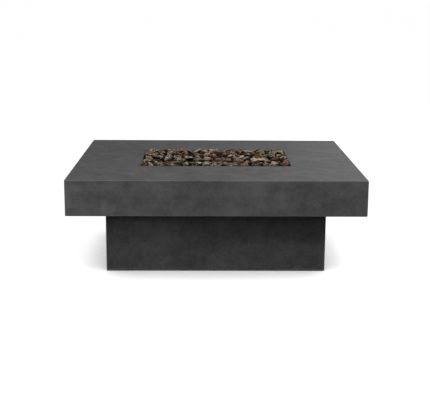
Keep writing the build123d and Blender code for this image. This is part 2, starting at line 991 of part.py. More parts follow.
# ---------------------------------------------------------------------------
# Control panel and bezel
# ---------------------------------------------------------------------------
with BuildPart() as control_panel:
    with BuildSketch(back_plane(base_back)):
        with Locations((panel_x, panel_z)):
            RectangleRounded(panel_width, panel_height, panel_corner)
        with Locations(*knob_axis):
            Circle(stem_radius + stem_gap, mode=Mode.SUBTRACT)
        with Locations((igniter_x, panel_z)):
            Circle(igniter_neck_radius + thread_gap, mode=Mode.SUBTRACT)
        with Locations(*panel_screw_spots):
            Circle(screw_radius + thread_gap, mode=Mode.SUBTRACT)
    extrude(amount=-panel_thickness)
    flat_head(
        back_plane(panel_face),
        valve_screw_spots,
        valve_screw_radius + thread_gap,
        panel_thickness,
        mode=Mode.SUBTRACT,
    )

# The bezel covers the valve's screws, so their heads lie flush in the panel.
with BuildPart() as valve_screws:
    flat_head(
        back_plane(panel_face), valve_screw_spots, valve_screw_radius, panel_thickness
    )
    round_bar(
        back_plane(panel_face), valve_screw_spots, valve_screw_radius, valve_screw_reach
    )

with BuildPart() as knob_bezel:
    round_bar(
        back_plane(panel_face),
        knob_axis,
        bezel_radius,
        -bezel_thickness,
        bore=stem_radius + stem_gap,
    )
    with BuildSketch(back_plane(panel_face + bezel_thickness)):
        with Locations(*knob_axis):
            for turn, mark_length in bezel_marks:
                with Locations(
                    (
                        bezel_mark_radius * math.cos(math.radians(turn)),
                        bezel_mark_radius * math.sin(math.radians(turn)),
                    )
                ):
                    SlotOverall(mark_length, bezel_mark_width, rotation=turn + 90)
    extrude(amount=bezel_mark_depth, mode=Mode.SUBTRACT)

with BuildPart() as panel_screws:
    round_head_screws(back_plane(panel_face), panel_screw_spots)

# ---------------------------------------------------------------------------
# Push-button igniter
# ---------------------------------------------------------------------------
igniter_axis = [(igniter_x, panel_z)]

with BuildPart() as igniter_housing:
    round_bar(back_plane(base_back), igniter_axis, igniter_radius, igniter_length)
    round_bar(
        back_plane(base_back), igniter_axis, igniter_neck_radius, -igniter_neck_reach
    )
    round_bar(
        back_plane(button_shoulder),
        igniter_axis,
        igniter_bore,
        button_shoulder - igniter_floor,
        mode=Mode.SUBTRACT,
    )
    round_bar(
        back_plane(igniter_neck_front),
        igniter_axis,
        button_radius + button_gap,
        igniter_neck_front - button_shoulder,
        mode=Mode.SUBTRACT,
    )
    round_bar(back_plane(igniter_back), igniter_axis, terminal_radius, terminal_length)

with BuildPart() as igniter_nut:
    round_bar(
        back_plane(panel_face),
        igniter_axis,
        igniter_nut_radius,
        -igniter_nut_thickness,
        bore=igniter_neck_radius + thread_gap,
    )
    nut_rim = igniter_nut.edges().filter_by(GeomType.CIRCLE).sort_by(Axis.Y)[-2:]
    chamfer(nut_rim.sort_by(SortBy.RADIUS)[-1], length=igniter_nut_edge)

with BuildPart() as igniter_button:
    round_bar(
        back_plane(button_front),
        igniter_axis,
        button_radius,
        button_front - button_back,
    )
    round_bar(
        back_plane(button_flange_front),
        igniter_axis,
        button_flange_radius,
        button_flange_thickness,
    )
    fillet(
        igniter_button.edges().filter_by(GeomType.CIRCLE).sort_by(Axis.Y)[-1],
        radius=button_edge,
    )

with BuildPart() as igniter_battery:
    battery_can = battery_length - battery_pip_height
    round_bar(
        back_plane(battery_front - battery_pip_height),
        igniter_axis,
        battery_radius,
        battery_can,
    )
    round_bar(
        back_plane(battery_front),
        igniter_axis,
        battery_pip_radius,
        battery_pip_height,
    )

with BuildPart() as igniter_spring:
    battery_shoulder = battery_front - battery_pip_height
    coil(
        (igniter_x, battery_shoulder + seat_gap, panel_z),
        (0, 1, 0),
        button_back - battery_shoulder - 2 * seat_gap,
        igniter_spring_radius,
        spring_wire,
        igniter_spring_turns,
    )

# ---------------------------------------------------------------------------
# Ignition group beside the burner
# ---------------------------------------------------------------------------
with BuildPart() as pilot_bracket:
    with BuildSketch(Plane.XY.offset(pan_floor)):
        with Locations((ignition_x, ignition_y)):
            Rectangle(bracket_plate_width, bracket_plate_depth)
        with Locations((electrode_x, ignition_y)):
            Circle(insulator_radius + thread_gap, mode=Mode.SUBTRACT)
        with Locations((thermocouple_x, ignition_y)):
            Circle(thermocouple_radius + thread_gap, mode=Mode.SUBTRACT)
    extrude(amount=sheet)
    with BuildSketch(Plane.XY.offset(pan_floor)):
        with Locations((ignition_x, ignition_y - bracket_plate_depth / 2 + sheet / 2)):
            Rectangle(bracket_plate_width, sheet)
    extrude(amount=bracket_plate_height)

with BuildPart() as electrode_insulator:
    round_bar(
        Plane.XY.offset(insulator_bottom),
        [(electrode_x, ignition_y)],
        insulator_radius,
        insulator_length,
        bore=electrode_radius + running_gap,
    )

with BuildPart() as spark_electrode:
    round_bar(
        Plane.XY.offset(insulator_bottom),
        [(electrode_x, ignition_y)],
        electrode_radius,
        insulator_length + electrode_rise,
    )

with BuildPart() as thermocouple:
    round_bar(
        Plane.XY.offset(insulator_bottom),
        [(thermocouple_x, ignition_y)],
        thermocouple_radius,
        thermocouple_length,
    )
    fillet(
        thermocouple.edges().filter_by(GeomType.CIRCLE).sort_by(Axis.Z)[-1],
        radius=thermocouple_radius * 0.8,
    )

# ---------------------------------------------------------------------------
# Leads, hose and tube
# ---------------------------------------------------------------------------
lead_level = insulator_bottom - lead_drop

with BuildPart() as ignition_lead:
    lead_start = igniter_back - terminal_length
    lead_rise = lead_start - lead_back
    pipe(
        [
            (igniter_x, lead_start, panel_z),
            (igniter_x, lead_rise, panel_z),
            (igniter_x, lead_rise, lead_level),
            (electrode_x, ignition_y, lead_level),
            (electrode_x, ignition_y, insulator_bottom),
        ],
        [lead_bend, lead_bend, lead_entry_bend],
        ignition_lead_radius,
    )

with BuildPart() as thermocouple_lead:
    lead_start = valve_back - magnet_length
    lead_rise = lead_start - lead_back
    pipe(
        [
            (knob_x, lead_start, panel_z),
            (knob_x, lead_rise, panel_z),
            (knob_x, lead_rise, lead_level - lead_step),
            (thermocouple_x, ignition_y, lead_level - lead_step),
            (thermocouple_x, ignition_y, insulator_bottom),
        ],
        [lead_bend, lead_bend, lead_entry_bend],
        thermocouple_lead_radius,
    )

hose_end_x = knob_x - valve_size / 2 - port_boss_length
hose_drop_x = elbow_arm_reach + (hose_end_x - elbow_arm_reach) * hose_drop_share

with BuildPart() as burner_hose:
    pipe(
        [
            (elbow_arm_reach, 0, elbow_axis),
            (hose_drop_x + hose_lean, 0, elbow_axis),
            (hose_drop_x, valve_port_y, panel_z),
            (hose_end_x, valve_port_y, panel_z),
        ],
        [hose_bend, hose_end_bend],
        hose_radius,
        bore=hose_radius - hose_wall,
    )

with BuildPart() as hose_nuts:
    hex_bar(
        side_plane(elbow_arm_reach),
        [(0, elbow_axis)],
        hose_nut_across,
        hose_nut_length,
        bore=hose_radius + thread_gap,
    )
    hex_bar(
        side_plane(hose_end_x),
        [(valve_port_y, panel_z)],
        hose_nut_across,
        -hose_nut_length,
        bore=hose_radius + thread_gap,
    )

supply_top = panel_z - valve_size / 2 - port_boss_length

with BuildPart() as supply_tube:
    pipe(
        [
            (inlet_x, inlet_tail_y, inlet_z),
            (inlet_x, valve_port_y, inlet_z),
            (knob_x, valve_port_y, inlet_z),
            (knob_x, valve_port_y, supply_top),
        ],
        [supply_bend, supply_bend],
        supply_radius,
        bore=supply_radius - supply_wall,
    )

with BuildPart() as supply_nut:
    hex_bar(
        Plane.XY.offset(supply_top),
        [(knob_x, valve_port_y)],
        hose_nut_across,
        -hose_nut_length,
        bore=supply_radius + thread_gap,
    )

# ---------------------------------------------------------------------------
# Gas inlet in the back wall
# ---------------------------------------------------------------------------
inlet_axis = [(inlet_x, inlet_z)]

with BuildPart() as inlet_plate:
    with BuildSketch(back_plane(base_back)):
        with Locations(*inlet_axis):
            RectangleRounded(inlet_plate_size, inlet_plate_size, panel_corner)
            Circle(inlet_body_radius + thread_gap, mode=Mode.SUBTRACT)
        with Locations(*inlet_screw_spots):
            Circle(screw_radius + thread_gap, mode=Mode.SUBTRACT)
    extrude(amount=-panel_thickness)

with BuildPart() as inlet_fitting:
    round_bar(
        back_plane(panel_face), inlet_axis, inlet_body_radius, panel_face - inlet_tail_y
    )
    hex_bar(back_plane(panel_face), inlet_axis, inlet_hex_across, -inlet_hex_length)
    hex_face = panel_face + inlet_hex_length
    round_bar(back_plane(hex_face), inlet_axis, flare_radius, -flare_length)
    flare_rim = inlet_fitting.edges().filter_by(GeomType.CIRCLE).sort_by(Axis.Y)[-1]
    chamfer(flare_rim, length=flare_lead)
    round_bar(
        back_plane(hex_face + flare_length),
        inlet_axis,
        flare_bore,
        hex_face + flare_length - inlet_tail_y,
        mode=Mode.SUBTRACT,
    )

with BuildPart() as inlet_locknut:
    hex_bar(
        back_plane(base_inner_back),
        inlet_axis,
        inlet_nut_across,
        inlet_nut_thickness,
        bore=inlet_body_radius + thread_gap,
    )

with BuildPart() as inlet_screws:
    round_head_screws(back_plane(panel_face), inlet_screw_spots)

# ---------------------------------------------------------------------------
# Access door
# ---------------------------------------------------------------------------
with BuildPart() as door_frame:
    flange_left = door_left - frame_hinge_flange
    flange_right = door_right + frame_flange
    with BuildSketch(back_plane(base_back)):
        with Locations(((flange_left + flange_right) / 2, door_z)):
            Rectangle(
                flange_right - flange_left, door_clear_height + 2 * frame_flange
            )
    extrude(amount=-sheet)
    with BuildSketch(back_plane(base_back)):
        with Locations((door_x, door_z)):
            Rectangle(door_clear_width + 2 * sheet, door_clear_height + 2 * sheet)
    extrude(amount=base_wall)
    with BuildSketch(back_plane(frame_face)):
        with Locations((door_x, door_z)):
            Rectangle(door_clear_width, door_clear_height)
    extrude(amount=base_wall + sheet, mode=Mode.SUBTRACT)
    flat_head(
        back_plane(frame_face),
        frame_screw_spots,
        screw_radius + thread_gap,
        sheet,
        mode=Mode.SUBTRACT,
    )

# The door laps over the frame's screws, so their heads lie flush in it.
with BuildPart() as frame_screws:
    flat_head(back_plane(frame_face), frame_screw_spots, screw_radius, sheet)
    round_bar(back_plane(frame_face), frame_screw_spots, screw_radius, screw_reach)

door_width = door_clear_width + 2 * door_lap
door_height = door_clear_height + 2 * door_lap

with BuildPart() as access_door:
    with BuildSketch(back_plane(door_outer)):
        with Locations((door_x, door_z)):
            Rectangle(door_width, door_height)
    extrude(amount=door_fold)
    with BuildSketch(back_plane(door_inner)):
        with Locations((door_x, door_z)):
            Rectangle(door_width - 2 * sheet, door_height - 2 * sheet)
    extrude(amount=door_fold, mode=Mode.SUBTRACT)
    fillet(
        access_door.faces().sort_by(Axis.Y)[-1].edges(), radius=sheet * 0.6
    )

hinge_levels = [door_z - hinge_spread / 2, door_z + hinge_spread / 2]
knuckle_height = (hinge_height - 2 * hinge_gap) / 3


def hinge_leaves(leaf_y, tip_x, root_x, edge_x, knuckles):
    """Both hinges' leaves on one side of the pins: a flat leaf, and its tabs rolled round the pin."""
    for level in hinge_levels:
        with BuildSketch(back_plane(leaf_y + sheet)) as leaf:
            with Locations(((tip_x + edge_x) / 2, level)):
                Rectangle(abs(tip_x - edge_x), hinge_height)
            for step in knuckles:
                tab_z = level + step * (knuckle_height + hinge_gap)
                with Locations(((tip_x + root_x) / 2, tab_z)):
                    Rectangle(abs(tip_x - root_x), knuckle_height)
        extrude(leaf.sketch, amount=sheet)
        for step in knuckles:
            tab_z = level + step * (knuckle_height + hinge_gap)
            tab_base = Plane.XY.offset(tab_z - knuckle_height / 2)
            hinge_spot = [(hinge_x, hinge_y)]
            round_bar(tab_base, hinge_spot, hinge_knuckle_radius, knuckle_height)
            round_bar(
                tab_base,
                hinge_spot,
                hinge_pin_radius + running_gap,
                knuckle_height,
                mode=Mode.SUBTRACT,
            )


knuckle_wall = hinge_knuckle_radius - hinge_pin_radius

with BuildPart() as frame_hinge_leaves:
    hinge_leaves(
        frame_face,
        hinge_x - hinge_leaf_reach,
        hinge_x,
        hinge_x - hinge_knuckle_radius - leaf_clear,
        (-1, 1),
    )

with BuildPart() as door_hinge_leaves:
    hinge_leaves(
        door_outer,
        hinge_x + hinge_axis_out + door_leaf_reach,
        hinge_x + hinge_pin_radius + knuckle_wall / 2,
        hinge_x + hinge_knuckle_radius + leaf_clear,
        (0,),
    )

with BuildPart() as hinge_pins:
    for level in hinge_levels:
        round_bar(
            Plane.XY.offset(level - hinge_height / 2),
            [(hinge_x, hinge_y)],
            hinge_pin_radius,
            hinge_height,
        )
        round_bar(
            Plane.XY.offset(level + hinge_height / 2),
            [(hinge_x, hinge_y)],
            hinge_knuckle_radius,
            pin_head_thickness,
        )

with BuildPart() as door_knob:
    with BuildSketch(Plane.XY) as knob_profile:
        with BuildLine():
            Polyline(
                (0, 0),
                (door_knob_neck, 0),
                (door_knob_neck, door_knob_neck_reach),
                (door_knob_radius, door_knob_flare_reach),
                (door_knob_radius, door_knob_reach),
                (0, door_knob_reach),
                close=True,
            )
        make_face()
        fillet(knob_profile.vertices().sort_by(Axis.X)[-2:], radius=door_knob_edge)
    revolve(axis=Axis.Y)

knob_place = Location((door_right + door_lap - door_knob_inset, door_outer, door_z))
door_knob.part.locate(knob_place)

catch_x = door_right - catch_depth / 2

with BuildPart() as magnet_catch:
    with BuildSketch(back_plane(catch_face)):
        with Locations((catch_x, door_z)):
            Rectangle(catch_depth, catch_length)
    extrude(amount=catch_height)

with BuildPart() as strike_plate:
    with BuildSketch(back_plane(door_inner)):
        with Locations((catch_x, door_z)):
            Rectangle(catch_depth, catch_length)
    extrude(amount=strike_thickness)


# ---------------------------------------------------------------------------
# Side vents
# ---------------------------------------------------------------------------
blade_face = base_width / 2 + sheet
blade_length = vent_cut_width - 2 * cut_gap
louvre_pitch = vent_cut_height / louvre_count
blade_drop = louvre_depth * math.sin(math.radians(louvre_angle))
blade_run = louvre_depth * math.cos(math.radians(louvre_angle))

with BuildPart() as vent_grille_right:
    with BuildSketch(side_plane(base_width / 2)):
        with Locations((0, vent_z)):
            RectangleRounded(
                vent_cut_width + 2 * vent_flange,
                vent_cut_height + 2 * vent_flange,
                panel_corner,
            )
            Rectangle(
                vent_cut_width - 2 * louvre_root,
                vent_cut_height - 2 * louvre_root,
                mode=Mode.SUBTRACT,
            )
        with Locations(*vent_screw_spots):
            Circle(screw_radius + thread_gap, mode=Mode.SUBTRACT)
    extrude(amount=sheet)
    with BuildSketch(back_plane(blade_length / 2)):
        for n in range(louvre_count):
            level = vent_z + (n + 0.5 - louvre_count / 2) * louvre_pitch
            with BuildLine():
                Polyline(
                    (blade_face, level - blade_drop / 2),
                    (blade_face, level - blade_drop / 2 + sheet),
                    (blade_face - blade_run, level + blade_drop / 2 + sheet),
                    (blade_face - blade_run, level + blade_drop / 2),
                    close=True,
                )
            make_face()
    extrude(amount=blade_length)

with BuildPart() as vent_grille_left:
    mirror(vent_grille_right.part, about=Plane.YZ)

with BuildPart() as vent_screws:
    round_head_screws(side_plane(-base_width / 2 - sheet), vent_screw_spots)
    mirror(about=Plane.YZ)


# ---------------------------------------------------------------------------
# Lava rock
# ---------------------------------------------------------------------------
def jittered_seeds(rng, low, high, pitch, level, jitter):
    """Rock centres on a loose grid that fills a rectangle, each moved a little from its place."""
    across = max(1, round((high[0] - low[0]) / pitch))
    deep = max(1, round((high[1] - low[1]) / pitch))
    cell = ((high[0] - low[0]) / across, (high[1] - low[1]) / deep)
    seeds = []
    for column in range(across):
        for row in range(deep):
            seeds.append(
                Vector(
                    low[0] + (column + 0.5) * cell[0] + rng.uniform(-jitter, jitter) * cell[0],
                    low[1] + (row + 0.5) * cell[1] + rng.uniform(-jitter, jitter) * cell[1],
                    level + rng.uniform(-jitter, jitter) * pitch,
                )
            )
    return seeds


def rock_walls(low, high):
    """The planes that hold a bed of rock, each as a point on the plane and its outward normal."""
    return [
        (Vector(*(corner[axis] if n == axis else 0 for n in range(3))), side * unit)
        for corner, side in ((low, -1), (high, 1))
        for axis, unit in enumerate((Vector(1, 0, 0), Vector(0, 1, 0), Vector(0, 0, 1)))
    ]


def rock_points(rng, seed, seeds, walls, reach, knobs):
    """Corners of one rock: where it touches its neighbours, and random knobs that stay short of them."""
    planes = list(walls)
    for other in seeds:
        if other is not seed and (other - seed).length < 2 * reach:
            normal = (other - seed).normalized()
            planes.append(((seed + other) / 2 - normal * rock_gap / 2, normal))
    ways = [normal for _, normal in planes]
    ways += [
        Vector(rng.gauss(0, 1), rng.gauss(0, 1), rng.gauss(0, 1)).normalized()
        for _ in range(knobs)
    ]
    points = []
    for way in ways:
        length = reach * rng.uniform(rock_least, 1)
        for point, normal in planes:
            slope = way.dot(normal)
            if slope > 0.001:
                length = min(length, (point - seed).dot(normal) / slope)
        points.append(seed + way * length)
    return points


def rock_bed(rng, low, high, pitch, jitter, level, knobs):
    """One layer of loose rock in a box, as separate convex solids."""
    seeds = jittered_seeds(rng, low, high, pitch, level, jitter)
    walls = rock_walls(low, high)
    reach = pitch * rock_reach
    return [
        ConvexPolyhedron(
            rock_points(rng, seed, seeds, walls, reach, knobs), mode=Mode.PRIVATE
        )
        for seed in seeds
    ]


with BuildPart() as lava_rocks_top:
    bed_x = opening_width / 2 - rock_gap
    bed_y = opening_depth / 2 - rock_gap
    bed_floor = flange_top + seat_gap
    add(
        rock_bed(
            random.Random(rock_seed),
            (-bed_x, -bed_y, bed_floor),
            (bed_x, bed_y, table_height + rock_stand),
            rock_pitch,
            rock_jitter,
            (bed_floor + table_height) / 2,
            rock_knobs,
        )
    )

with BuildPart() as lava_rocks_lower:
    tray_x = tray_width / 2 - rock_gap
    tray_y = tray_depth / 2 - rock_gap
    tube_side = burner_tube_radius + burner_clear
    inner_y = burner_spread - tube_side
    hub_side = hub_radius + burner_clear
    bracket_left = ignition_x - bracket_plate_width / 2 - burner_clear
    bracket_right = ignition_x + bracket_plate_width / 2 + burner_clear
    lower_floor = pan_floor + seat_gap
    lower_top = flange_top - rock_gap
    lanes = [
        ((-tray_x, -tray_y), (tray_x, -burner_spread - tube_side)),
        ((-tray_x, burner_spread + tube_side), (tray_x, tray_y)),
        ((-tray_x, -inner_y), (-hub_side, inner_y)),
        ((hub_side, -inner_y), (bracket_left, inner_y)),
        (
            (bracket_left + burner_clear, -inner_y),
            (bracket_right - burner_clear, ignition_y - bracket_plate_depth / 2 - burner_clear),
        ),
        ((bracket_right, -inner_y), (tray_x, inner_y)),
    ]
    rng = random.Random(rock_seed + 1)
    for lane_low, lane_high in lanes:
        add(
            rock_bed(
                rng,
                (*lane_low, lower_floor),
                (*lane_high, lower_top),
                lower_rock_pitch,
                lower_rock_jitter,
                (lower_floor + lower_top) / 2,
                lower_rock_knobs,
            )
        )

# ---------------------------------------------------------------------------
# Export
# ---------------------------------------------------------------------------
pieces = {
    "table_top": table_top,
    "base_shell": base_shell,
    "rubber_glides": rubber_glides,
    "setting_pads": setting_pads,
    "top_brackets": top_brackets,
    "top_bolts": top_bolts,
    "bracket_bolts": bracket_bolts,
    "burner_pan": burner_pan,
    "burner": burner,
    "burner_nipple": burner_nipple,
    "pan_locknut": pan_locknut,
    "heat_shield": heat_shield,
    "shield_studs": shield_studs,
    "shield_nuts": shield_nuts,
    "air_mixer": air_mixer,
    "air_shutter": air_shutter,
    "orifice_elbow": orifice_elbow,
    "gas_valve": gas_valve,
    "magnet_unit": magnet_unit,
    "valve_plunger": valve_plunger,
    "valve_stem": valve_stem,
    "stem_spring": stem_spring,
    "control_knob": control_knob,
    "control_panel": control_panel,
    "knob_bezel": knob_bezel,
    "valve_screws": valve_screws,
    "panel_screws": panel_screws,
    "igniter_housing": igniter_housing,
    "igniter_nut": igniter_nut,
    "igniter_button": igniter_button,
    "igniter_battery": igniter_battery,
    "igniter_spring": igniter_spring,
    "pilot_bracket": pilot_bracket,
    "electrode_insulator": electrode_insulator,
    "spark_electrode": spark_electrode,
    "thermocouple": thermocouple,
    "ignition_lead": ignition_lead,
    "thermocouple_lead": thermocouple_lead,
    "burner_hose": burner_hose,
    "hose_nuts": hose_nuts,
    "supply_tube": supply_tube,
    "supply_nut": supply_nut,
    "inlet_plate": inlet_plate,
    "inlet_fitting": inlet_fitting,
    "inlet_locknut": inlet_locknut,
    "inlet_screws": inlet_screws,
    "door_frame": door_frame,
    "frame_screws": frame_screws,
    "access_door": access_door,
    "frame_hinge_leaves": frame_hinge_leaves,
    "door_hinge_leaves": door_hinge_leaves,
    "hinge_pins": hinge_pins,
    "door_knob": door_knob,
    "magnet_catch": magnet_catch,
    "strike_plate": strike_plate,
    "vent_grille_left": vent_grille_left,
    "vent_grille_right": vent_grille_right,
    "vent_screws": vent_screws,
    "lava_rocks_top": lava_rocks_top,
    "lava_rocks_lower": lava_rocks_lower,
}

os.makedirs("parts", exist_ok=True)
for name, piece in pieces.items():
    solid = piece.part if isinstance(piece, BuildPart) else piece
    solid.label = name
    export_step(solid, f"parts/{name}.step")
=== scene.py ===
# %% [markdown]
# # Dressing a gas fire table
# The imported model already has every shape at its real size: a cast slab with a well of lava
# rock, on a hollow cast base that hides a gas burner and its controls. This lesson gives each
# surface the finish it has on the real object, turns the plain stones into rough scoria, and
# sets up a pale studio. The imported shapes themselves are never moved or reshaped.

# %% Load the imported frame
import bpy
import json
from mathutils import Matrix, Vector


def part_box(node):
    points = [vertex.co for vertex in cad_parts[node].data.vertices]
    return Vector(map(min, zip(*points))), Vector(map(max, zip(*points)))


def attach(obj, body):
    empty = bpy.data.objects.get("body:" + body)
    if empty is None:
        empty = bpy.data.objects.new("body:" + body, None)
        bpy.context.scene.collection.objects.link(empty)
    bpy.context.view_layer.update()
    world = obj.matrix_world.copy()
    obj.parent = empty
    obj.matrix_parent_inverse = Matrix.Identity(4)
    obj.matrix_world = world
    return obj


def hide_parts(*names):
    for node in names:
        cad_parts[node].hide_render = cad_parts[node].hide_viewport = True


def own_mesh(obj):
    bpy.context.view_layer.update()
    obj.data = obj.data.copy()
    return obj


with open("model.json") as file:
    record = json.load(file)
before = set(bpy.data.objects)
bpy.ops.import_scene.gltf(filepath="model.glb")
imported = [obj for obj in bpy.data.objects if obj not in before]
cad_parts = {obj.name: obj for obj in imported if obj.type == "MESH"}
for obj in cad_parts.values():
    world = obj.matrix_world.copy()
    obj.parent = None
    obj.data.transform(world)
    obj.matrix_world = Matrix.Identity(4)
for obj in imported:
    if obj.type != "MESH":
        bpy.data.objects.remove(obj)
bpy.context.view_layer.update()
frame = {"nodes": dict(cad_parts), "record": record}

# %% Tools from Blender and Python
import json
import math
import random

import bpy
from mathutils import Matrix, Vector

millimetre = 0.001
scene = bpy.context.scene
scene.view_settings.view_transform = "Standard"

# %% [markdown]
# ## The camera
# A long lens from about chest height shows the table nearly from the front, a little from above.
# The lens, the place and the three angles were found by fitting the known corners of the slab
# and the base, so the camera is set by numbers and not by hand. Most of the look downwards is
# real tilt, and only a little of it is lens shift, so that other views stay in the frame.

# %% Set the camera
frame_width = 430
focal_pixels = 829.1
sensor_width = 36
camera_place = (-0.055, -3.684, 1.167)
camera_down = math.radians(10.965)
camera_right = math.radians(0.83)
camera_roll = math.radians(0.355)
lens_shift = -0.12

camera_data = bpy.data.cameras.new("camera")
camera_data.sensor_width = sensor_width
camera_data.lens = focal_pixels / frame_width * sensor_width
camera_data.shift_y = lens_shift
camera = bpy.data.objects.new("camera", camera_data)
scene.collection.objects.link(camera)
turn = Matrix.Rotation(-camera_right, 4, "Z")
tilt = Matrix.Rotation(math.radians(90) - camera_down, 4, "X")
roll = Matrix.Rotation(camera_roll, 4, "Z")
camera.matrix_world = Matrix.Translation(camera_place) @ turn @ tilt @ roll
scene.camera = camera
print("lens", round(camera_data.lens, 1), "mm")

# %% [markdown]
# ## Helpers for materials
# Blender's colour sockets hold linear light, but colours are easier to pick as the sRGB hex
# values of a paint program, so one function turns the second into the first. Another turns the
# real pitch of a pattern into its scale. All materials here are trees, so a third adds a node
# with its settings and its links, and a fourth starts a material. The last one tells the rays
# that show a surface, directly or in a reflection, from those that only carry its light.

# %% Colour, pitch and node helpers
def linear(hex_colour):
    """An sRGB hex colour as linear red, green, blue and alpha."""
    channels = [int(hex_colour[i : i + 2], 16) / 255 for i in (1, 3, 5)]
    return tuple(c / 12.92 if c <= 0.04045 else ((c + 0.055) / 1.055) ** 2.4 for c in channels) + (1,)


def per_metre(pitch_mm):
    """How often a pattern with this pitch repeats in a metre."""
    return 1 / (pitch_mm * millimetre)


def add(tree, kind, inputs=None, **settings):
    """Adds a node. An input is either a value or another node's output, which is linked."""
    node = tree.nodes.new("ShaderNode" + kind)
    for name, value in settings.items():
        setattr(node, name, value)
    for name, value in (inputs or {}).items():
        if isinstance(value, bpy.types.NodeSocket):
            tree.links.new(value, node.inputs[name])
        else:
            node.inputs[name].default_value = value
    return node


def new_finish(name, **values):
    """A material with one Principled shader, and the piece's own coordinates to draw with."""
    finish = bpy.data.materials.new(name)
    finish.use_nodes = True
    tree = finish.node_tree
    tree.nodes.clear()
    shader = add(tree, "BsdfPrincipled", {k.replace("_", " "): v for k, v in values.items()})
    add(tree, "OutputMaterial", {"Surface": shader.outputs[0]})
    place = add(tree, "TexCoord").outputs["Object"]
    return finish, tree, shader, place


def directly_seen(tree):
    """1 for rays from the camera, off a gloss or through glass, and 0 for all others."""
    ray = add(tree, "LightPath").outputs
    seen = add(tree, "Math", {0: ray["Is Camera Ray"], 1: ray["Is Glossy Ray"]}, operation="MAXIMUM")
    seen = add(tree, "Math", {0: seen.outputs[0], 1: ray["Is Transmission Ray"]}, operation="MAXIMUM")
    return seen.outputs[0]


mix_factor, mix_a, mix_b, mix_result = 0, 6, 7, 2  # sockets of a Mix node that mixes colours
print("white is", linear("#ffffff"))

# %% [markdown]
# ## The studio
# A seamless pale floor under a white sky. For the camera the sky is plain white, and so it is
# in reflections. All other rays see a much dimmer sky, which only fills the shadows. The light
# that shapes the table comes from five soft boxes: one high and one low on the right, one high
# in front, one low on the left and one behind on the right.
#
# The camera sees the floor as a grey that takes the table's shadow, with white added so that it
# stays pale. The added white fades near the table, which paints a soft shadow round it, and stops
# at the outer faces of the base, so that none of it shows inside. All other rays see a dark floor,
# which throws little light up.

# %% Sky
zenith_strength = 0.12
horizon_strength = 0.08
world = bpy.data.worlds.new("white_studio")
scene.world = world
world.use_nodes = True
sky = world.node_tree
sky.nodes.clear()
upwards = add(sky, "SeparateXYZ", {0: add(sky, "TexCoord").outputs["Generated"]})
dome = add(
    sky, "MapRange",
    {"Value": upwards.outputs["Z"], "To Min": horizon_strength, "To Max": zenith_strength},
)
soft = add(sky, "Background", {"Color": linear("#ffffff"), "Strength": dome.outputs[0]})
white = add(sky, "Background", {"Color": linear("#ffffff"), "Strength": 1})
both = add(sky, "MixShader", {0: directly_seen(sky), 1: soft.outputs[0], 2: white.outputs[0]})
add(sky, "OutputWorld", {"Surface": both.outputs[0]})
print("sky strength", horizon_strength, "to", zenith_strength)

# %% Floor
floor_width = 200
floor_gap = 0.5 * millimetre
shadow_reach = 0.45
bpy.ops.object.select_all(action="DESELECT")
bpy.ops.mesh.primitive_plane_add(size=floor_width, location=(0, 0, -floor_gap))
floor = bpy.context.object
floor.name = "studio_floor"
floor_finish = bpy.data.materials.new("pale_floor")
floor_finish.use_nodes = True
tree = floor_finish.node_tree
tree.nodes.clear()
painted = add(tree, "BsdfDiffuse", {"Color": linear("#3c3c3c")})
shaded = add(tree, "BsdfDiffuse", {"Color": linear("#9a9a9a")})
# Painted shadow: near the table the added white fades with ambient occlusion.
open_floor = add(tree, "AmbientOcclusion", {"Distance": shadow_reach})
level = add(
    tree, "MapRange",
    {"Value": open_floor.outputs["AO"], "From Min": 0.1, "From Max": 0.62, "To Max": 0.96},
)
off = add(tree, "VectorMath", {0: add(tree, "TexCoord").outputs["Object"]}, operation="ABSOLUTE")
off = add(tree, "VectorMath", {0: off.outputs[0], 1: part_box("base_shell")[1]}, operation="SUBTRACT")
x, y, _ = add(tree, "SeparateXYZ", {0: off.outputs[0]}).outputs
off = add(tree, "Math", {0: x, 1: y}, operation="MAXIMUM")
outside = add(tree, "Math", {0: off.outputs[0], 1: 0}, operation="GREATER_THAN")
level = add(tree, "Math", {0: level.outputs[0], 1: outside.outputs[0]}, operation="MULTIPLY")
glow = add(tree, "Emission", {"Color": linear("#ffffff"), "Strength": level.outputs[0]})
pale = add(tree, "AddShader", {0: shaded.outputs[0], 1: glow.outputs[0]})
both = add(tree, "MixShader", {0: directly_seen(tree), 1: painted.outputs[0], 2: pale.outputs[0]})
add(tree, "OutputMaterial", {"Surface": both.outputs[0]})
floor.data.materials.append(floor_finish)
print("floor", floor_width, "m wide")

# %% Lights
def soft_box(name, place, target, width, depth, watts):
    """A rectangular lamp that points at a target."""
    lamp = bpy.data.lights.new(name, "AREA")
    lamp.shape = "RECTANGLE"
    lamp.size = width
    lamp.size_y = depth
    lamp.energy = watts
    light = bpy.data.objects.new(name, lamp)
    light.location = place
    aim = Vector(target) - Vector(place)
    light.rotation_euler = aim.to_track_quat("-Z", "Y").to_euler()
    scene.collection.objects.link(light)


soft_box("overhead_box", (2.0, -0.6, 2.2), (0.3, -0.2, 0.43), 1.0, 1.0, 12)
soft_box("low_right_box", (1.7, -0.45, 1.0), (0.5, -0.3, 0.43), 0.6, 0.6, 6)
soft_box("front_box", (0.1, -2.5, 2.8), (0, -0.3, 0.2), 1.2, 1.6, 39)
soft_box("low_left_box", (-2.0, -2.0, 0.85), (-0.4, -0.3, 0.2), 0.8, 0.6, 17)
soft_box("back_right_box", (1.6, 3.1, 0.9), (0, 0.3, 0.2), 1.8, 0.9, 32)
print("five soft boxes")
